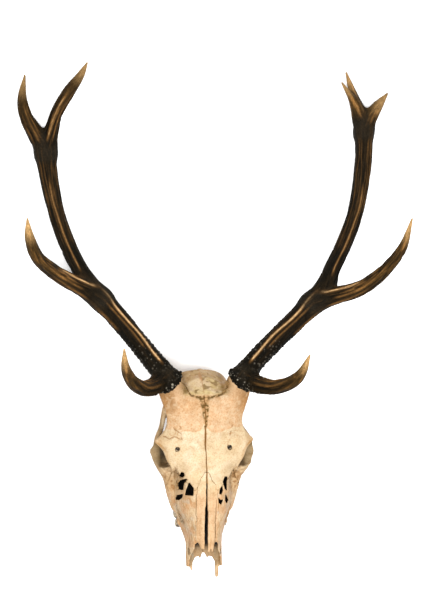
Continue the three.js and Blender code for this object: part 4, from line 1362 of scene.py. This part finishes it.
def branch_skin(branch, kind, s, angle, radius, p):
    """Relief in mm, colour and grain coordinates at points, as one branch alone would have them."""
    look = LOOKS[kind]
    from_tip = branch.s[-1] - s if kind != "beam" else np.full(len(p), NO_TIP)
    ring = np.stack([np.cos(angle) * radius, np.sin(angle) * radius], 1)
    flute = FLUTE(np.column_stack([ring / 8.5, s / 95]))
    groove = FLUTE(np.column_stack([ring / 4.2, s / 42]) + 20)
    fibre = FLUTE(np.column_stack([ring / 1.8, s / 24]) + 50)
    channel = hump(groove, 0.5, 0.075) + 0.6 * hump(flute, 0.5, 0.05)
    rough = step_up(from_tip, 10, 110)
    pearly = look["pearls"] * np.exp(-np.maximum(0, s - look["pearls_to"]) / 70)
    pearl = PEARLS(p / 4.6, 0.75) * step_up(pearly, 0.05, 0.4) * pearly
    worn = worn_ridges_and_highlights(look, s, angle, radius)
    lift = 1.6 * (flute - 0.5) + 0.9 * (groove - 0.5) + 0.35 * (fibre - 0.5) - 1.3 * channel * (1 - pearly)
    relief = rough * (lift + 1.5 * pearl * (1 - 0.7 * worn)) + 0.5 * worn
    ridge = step_up(0.35 * flute + 0.35 * groove + 0.3 * fibre, 0.48, 0.66) * (1 - 0.8 * channel)
    tone = look["tone"] * step_up(s, 0, look["tone_by"] * branch.s[-1])
    tone = tone + 0.3 * (FLUTE.layered(np.column_stack([ring / 6, s / 60]) + 70) - 0.5)
    paint = Paint(DARK, len(p))
    paint.lay(BROWN, 0.05 + 1.2 * tone)
    paint.lay(RIDGE_TAN, ridge * np.clip(tone, 0, 1) * 1.25)
    paint.lay(DARK, 0.85 * channel * rough * (1 - 0.4 * tone))
    paint.lay(DARK, 0.6 * step_up(-fibre, -0.45, -0.3) * rough)
    paint.lay(PEARL, 0.2 * step_up(pearl, 0.6, 0.98) * rough)
    paint.lay(RIDGE_TAN, worn * (0.75 + 0.5 * fibre))
    # Painted highlight of peach along the middles of the worn ridges.
    paint.lay(PEACH_HIGHLIGHT, look["highlight"] * step_up(worn, 0.45, 0.95) * (0.55 + 0.7 * fibre))
    paint.lay(TIP, look["pale"] * (1 - step_up(from_tip, 8, look["tip"])) * (0.75 + 0.4 * groove))
    return relief, paint.tones, np.column_stack([ring, s / 9])


def antler_skin(branches, kinds, p):
    """Relief in mm, colour and grain coordinates at points on an antler, blended where branches meet."""
    found = [branch.locate(p) for branch in branches]
    away = np.stack([f[3] for f in found])
    weight = np.exp(-(away - away.min(0)) / 2.5)
    weight /= weight.sum(0)
    web = 1 - np.abs(2 * weight.max(0) - 1)
    relief = np.zeros(len(p))
    colour = np.zeros((len(p), 3))
    grain = np.zeros((len(p), 3))
    for branch, kind, (s, angle, radius, _), w in zip(branches, kinds, found, weight):
        lift, tones, place = branch_skin(branch, kind, s, angle, radius, p)
        relief += w * lift
        colour += w[:, None] * tones
        grain += w[:, None] * place
    return relief, mix(colour, WEB, 0.6 * web * step_up(p[:, 2], -22, -8)), grain


def burr_field(side):
    """A rounded ring round the foot of the antler."""
    centre, axis = burr_point(side, 0), burr_axis(side)

    def shape(x, y, z):
        local = (x - centre[0], y - centre[1], z - centre[2])
        h = sum(p * a for p, a in zip(local, axis))
        away = np.sqrt(np.maximum(sum(p * p for p in local) - h * h, 0))
        ring = np.sqrt((away - BURR_RADIUS + 5) ** 2 + (h * 0.95) ** 2) - BURR_BEAD
        disc = np.maximum(away - BURR_RADIUS + 3, np.abs(h) - BURR_THICKNESS / 2)
        return soft_min(ring, disc, 3)

    return shape


def dress_burr(points, side, relief, colour):
    """Beads round the burr, pale on their tops."""
    local = points - burr_point(side, 0)
    height = local @ burr_axis(side)
    away = np.linalg.norm(local - height[:, None] * burr_axis(side), axis=1)
    collar = hump(height, 0, 8) * step_up(away, 14, 19) * (away < 40)
    knobs = PEARLS(points / 6.5 + 11, 0.9)
    small = PEARLS(points / 3.6 + 5, 0.6)
    relief = relief * (1 - collar) + collar * (2.8 * knobs + 1.1 * small - 1.2)
    colour = mix(colour, DARK, 0.95 * collar)
    pale = step_up(knobs, 0.8, 0.97) * step_up(FLUTE(points / 7), 0.4, 0.6) + 0.7 * step_up(small, 0.75, 0.95)
    return relief, mix(colour, PEARL, 0.8 * collar * pale * step_up(away, 19, 23))


def make_antler(name, side, material):
    """One antler, grown together from its branches and its burr."""
    plan = ANTLERS[name]
    branches = [Branch(stations, side, ANTLER_SKIN[kind]) for kind, stations in plan.items()]
    low = np.min([b.points[:, :3].min(0) for b in branches], 0) - ANTLER_MARGIN
    high = np.max([b.points[:, :3].max(0) for b in branches], 0) + ANTLER_MARGIN
    grid = Grid(low, high, ANTLER_STEP)
    for kind, branch in zip(plan, branches):
        soft = FORK_SOFTNESS[kind]
        spans, bar = bar_field(grid, branch.points, soft)
        grid.d[spans] = soft_min(grid.d[spans], bar, soft)
    centre = burr_point(side, 0)
    grid.add(burr_field(side), centre - 34, centre + 34, 4)
    foot, axis = burr_point(side, -BURR_THICKNESS / 2), burr_axis(side)
    grid.cut(
        lambda x, y, z: (x - foot[0]) * axis[0] + (y - foot[1]) * axis[1] + (z - foot[2]) * axis[2],
        centre - 40, centre + 40, 1,
    )
    rest = list(zip(BEAM_REST["y"], BEAM_REST["z"]))
    cut_at_floor(grid, (low[0], *rest[0]), (high[0], *rest[1]))
    points, quads = largest_body(*surface(grid.d, grid.axes, grid.step))
    relief, colour, grain = antler_skin(branches, list(plan), points)
    relief, colour = dress_burr(points, side, relief, colour)
    points = points + vertex_normals(points, quads) * relief[:, None]
    stands = ["burr", "beam_lower", "beam_upper", "brow_tine", "mid_tine", "crown_outer", "crown_inner"]
    nodes = [f"{node}_{name}" for node in stands + ["crown_rear"] * (name == "left")]
    piece = make_piece(f"antler_{name}", points, quads, colour, material, nodes)
    vector = piece.data.attributes.new("grain", "FLOAT_VECTOR", "POINT")
    vector.data.foreach_set("vector", grain.astype(np.float32).ravel())


# ---------------------------------------------------------------- materials


def node_material(name):
    material = bpy.data.materials.new(name)
    material.use_nodes = True
    tree = material.node_tree
    return material, tree, tree.nodes["Principled BSDF"]


def link(tree, output, target):
    tree.links.new(output, target)


def attribute(tree, name, output="Fac"):
    node = tree.nodes.new("ShaderNodeAttribute")
    node.attribute_name = name
    return node.outputs[output]


def noise(tree, vector, scale, detail=3.0, roughness=0.55):
    node = tree.nodes.new("ShaderNodeTexNoise")
    node.inputs["Scale"].default_value = scale
    node.inputs["Detail"].default_value = detail
    node.inputs["Roughness"].default_value = roughness
    link(tree, vector, node.inputs["Vector"])
    return node.outputs["Fac"]


def ramp(tree, value, stops):
    node = tree.nodes.new("ShaderNodeValToRGB")
    while len(node.color_ramp.elements) < len(stops):
        node.color_ramp.elements.new(0.5)
    for element, (at, colour) in zip(node.color_ramp.elements, stops):
        element.position = at
        element.color = (*colour, 1) if len(colour) == 3 else colour
    link(tree, value, node.inputs["Fac"])
    return node.outputs["Color"]


def multiply(tree, a, b, share=1.0):
    node = tree.nodes.new("ShaderNodeMix")
    node.data_type = "RGBA"
    node.blend_type = "MULTIPLY"
    node.inputs["Factor"].default_value = share
    link(tree, a, node.inputs["A"])
    link(tree, b, node.inputs["B"])
    return node.outputs["Result"]


def span(tree, value, low, high):
    node = tree.nodes.new("ShaderNodeMapRange")
    node.inputs["To Min"].default_value = low
    node.inputs["To Max"].default_value = high
    link(tree, value, node.inputs["Value"])
    return node.outputs["Result"]


def bump(tree, height, distance, strength, below=None):
    node = tree.nodes.new("ShaderNodeBump")
    node.inputs["Distance"].default_value = distance
    node.inputs["Strength"].default_value = strength
    link(tree, height, node.inputs["Height"])
    if below is not None:
        link(tree, below, node.inputs["Normal"])
    return node.outputs["Normal"]


def grey(v):
    return (v, v, v)


def bone_material():
    """Matt, fine-pored bone over the paint."""
    material, tree, shader = node_material("weathered_bone")
    place = tree.nodes.new("ShaderNodeTexCoord").outputs["Object"]
    paint = attribute(tree, "paint", "Color")
    mottle = ramp(tree, noise(tree, place, 60, 5, 0.6), [(0.3, (0.80, 0.75, 0.68)), (0.58, (1.0, 1.0, 1.0))])
    fine = ramp(tree, noise(tree, place, 420, 4, 0.6), [(0.34, (0.80, 0.74, 0.66)), (0.52, (1, 1, 1))])
    warm = ramp(tree, noise(tree, place, 22, 3), [(0.35, (1.0, 0.96, 0.90)), (0.65, (1, 1, 1))])
    colour = multiply(tree, multiply(tree, multiply(tree, paint, mottle), fine), warm)
    link(tree, colour, shader.inputs["Base Color"])
    link(tree, span(tree, noise(tree, place, 90, 3), 0.42, 0.68), shader.inputs["Roughness"])
    pores = bump(tree, noise(tree, place, 900, 3, 0.6), 0.0004, 0.5)
    waves = bump(tree, noise(tree, place, 170, 4, 0.6), 0.0011, 0.5, pores)
    link(tree, waves, shader.inputs["Normal"])
    shader.inputs["Specular IOR Level"].default_value = 0.1
    return material


def antler_material():
    """Dull antler with fibres that run along its branches."""
    material, tree, shader = node_material("pearled_antler")
    place = tree.nodes.new("ShaderNodeTexCoord").outputs["Object"]
    grain = attribute(tree, "grain", "Vector")
    paint = attribute(tree, "paint", "Color")
    fibres = noise(tree, grain, 0.9, 5, 0.65)
    streaks = ramp(tree, fibres, [(0.32, grey(0.45)), (0.62, grey(1.25))])
    fleck = ramp(tree, noise(tree, place, 380, 4, 0.65), [(0.35, grey(0.7)), (0.6, grey(1.12))])
    colour = multiply(tree, multiply(tree, paint, streaks), fleck)
    link(tree, colour, shader.inputs["Base Color"])
    link(tree, span(tree, noise(tree, place, 240, 3), 0.5, 0.75), shader.inputs["Roughness"])
    pits = bump(tree, noise(tree, place, 620, 3, 0.6), 0.0006, 0.55)
    grooves = bump(tree, fibres, 0.0012, 0.6, pits)
    link(tree, grooves, shader.inputs["Normal"])
    shader.inputs["Specular IOR Level"].default_value = 0.03
    return material


# ---------------------------------------------------------------- studio

PHOTO = {"width": 426, "height": 612}
CAMERA_DISTANCE = 2600
MM_PER_PIXEL = 1.63
CAMERA_YAW = math.radians(8.5)
CAMERA_ROLL = math.radians(0.8)
BREGMA_PIXEL = (205.6, 397)
SENSOR = 36.0
FLOOR_HALF = 6.0
FLOOR_COLOUR = (0.97, 0.97, 0.97)
WORLD_STRENGTH = 0.62
# Name, place, target, size and power of each light.
LIGHTS = [
    ("key", (-0.55, 0.75, 2.7), (0, -0.1, 0), 1.1, 115),
    ("fill", (0.9, -0.5, 2.6), (0, 0, 0), 1.6, 60),
]


def make_camera():
    """A camera that looks down on the forehead from the photograph's direction."""
    cy, sy = math.cos(CAMERA_YAW), math.sin(CAMERA_YAW)
    cr, sr = math.cos(CAMERA_ROLL), math.sin(CAMERA_ROLL)
    roll = np.array([[cr, -sr, 0], [sr, cr, 0], [0, 0, 1]])
    yaw = np.array([[cy, 0, sy], [0, 1, 0], [-sy, 0, cy]])
    turn = roll @ yaw
    middle = np.array([PHOTO["width"] / 2, PHOTO["height"] / 2])
    shift = np.array([BREGMA_PIXEL[0] - middle[0], middle[1] - BREGMA_PIXEL[1]]) * MM_PER_PIXEL
    place = turn.T @ (np.array([0, 0, CAMERA_DISTANCE]) - [*shift, 0])
    tilt = Matrix.Rotation(-REST_TILT, 3, "X")
    camera = bpy.data.objects.new("camera", bpy.data.cameras.new("camera"))
    bpy.context.scene.collection.objects.link(camera)
    matrix = (tilt @ Matrix(turn.T.tolist())).to_4x4()
    matrix.translation = to_row(place[None])[0]
    camera.matrix_world = matrix
    camera.data.sensor_width = SENSOR
    camera.data.lens = CAMERA_DISTANCE / MM_PER_PIXEL * SENSOR / PHOTO["height"]
    camera.data.clip_end = 20
    bpy.context.scene.camera = camera


def make_floor():
    """A wide, pale, plain floor."""
    mesh = bpy.data.meshes.new("studio_floor")
    corners = [(x * FLOOR_HALF, y * FLOOR_HALF, 0) for x, y in ((-1, -1), (1, -1), (1, 1), (-1, 1))]
    mesh.from_pydata(corners, [], [(0, 1, 2, 3)])
    floor = bpy.data.objects.new("studio_floor", mesh)
    bpy.context.scene.collection.objects.link(floor)
    material, _, shader = node_material("pale_floor")
    shader.inputs["Base Color"].default_value = (*FLOOR_COLOUR, 1)
    shader.inputs["Roughness"].default_value = 0.9
    shader.inputs["Specular IOR Level"].default_value = 0.0
    mesh.materials.append(material)


def make_light(name, place, target, size, power):
    """A square soft light, placed in metres."""
    light = bpy.data.lights.new(name, "AREA")
    light.size = size
    light.energy = power
    lamp = bpy.data.objects.new(name, light)
    bpy.context.scene.collection.objects.link(lamp)
    lamp.rotation_euler = (Vector(target) - Vector(place)).to_track_quat("-Z", "Y").to_euler()
    lamp.location = place


def make_studio():
    """White surroundings and two soft lights near the camera."""
    world = bpy.data.worlds.new("studio")
    world.use_nodes = True
    background = world.node_tree.nodes["Background"]
    background.inputs["Color"].default_value = (1, 1, 1, 1)
    background.inputs["Strength"].default_value = WORLD_STRENGTH
    bpy.context.scene.world = world
    bpy.context.scene.view_settings.view_transform = "Standard"
    for light in LIGHTS:
        make_light(*light)


make_camera()
make_floor()
make_studio()
make_skull(bone_material())
antler_look = antler_material()
for side_name, side_sign in SIDES.items():
    make_antler(side_name, side_sign, antler_look)
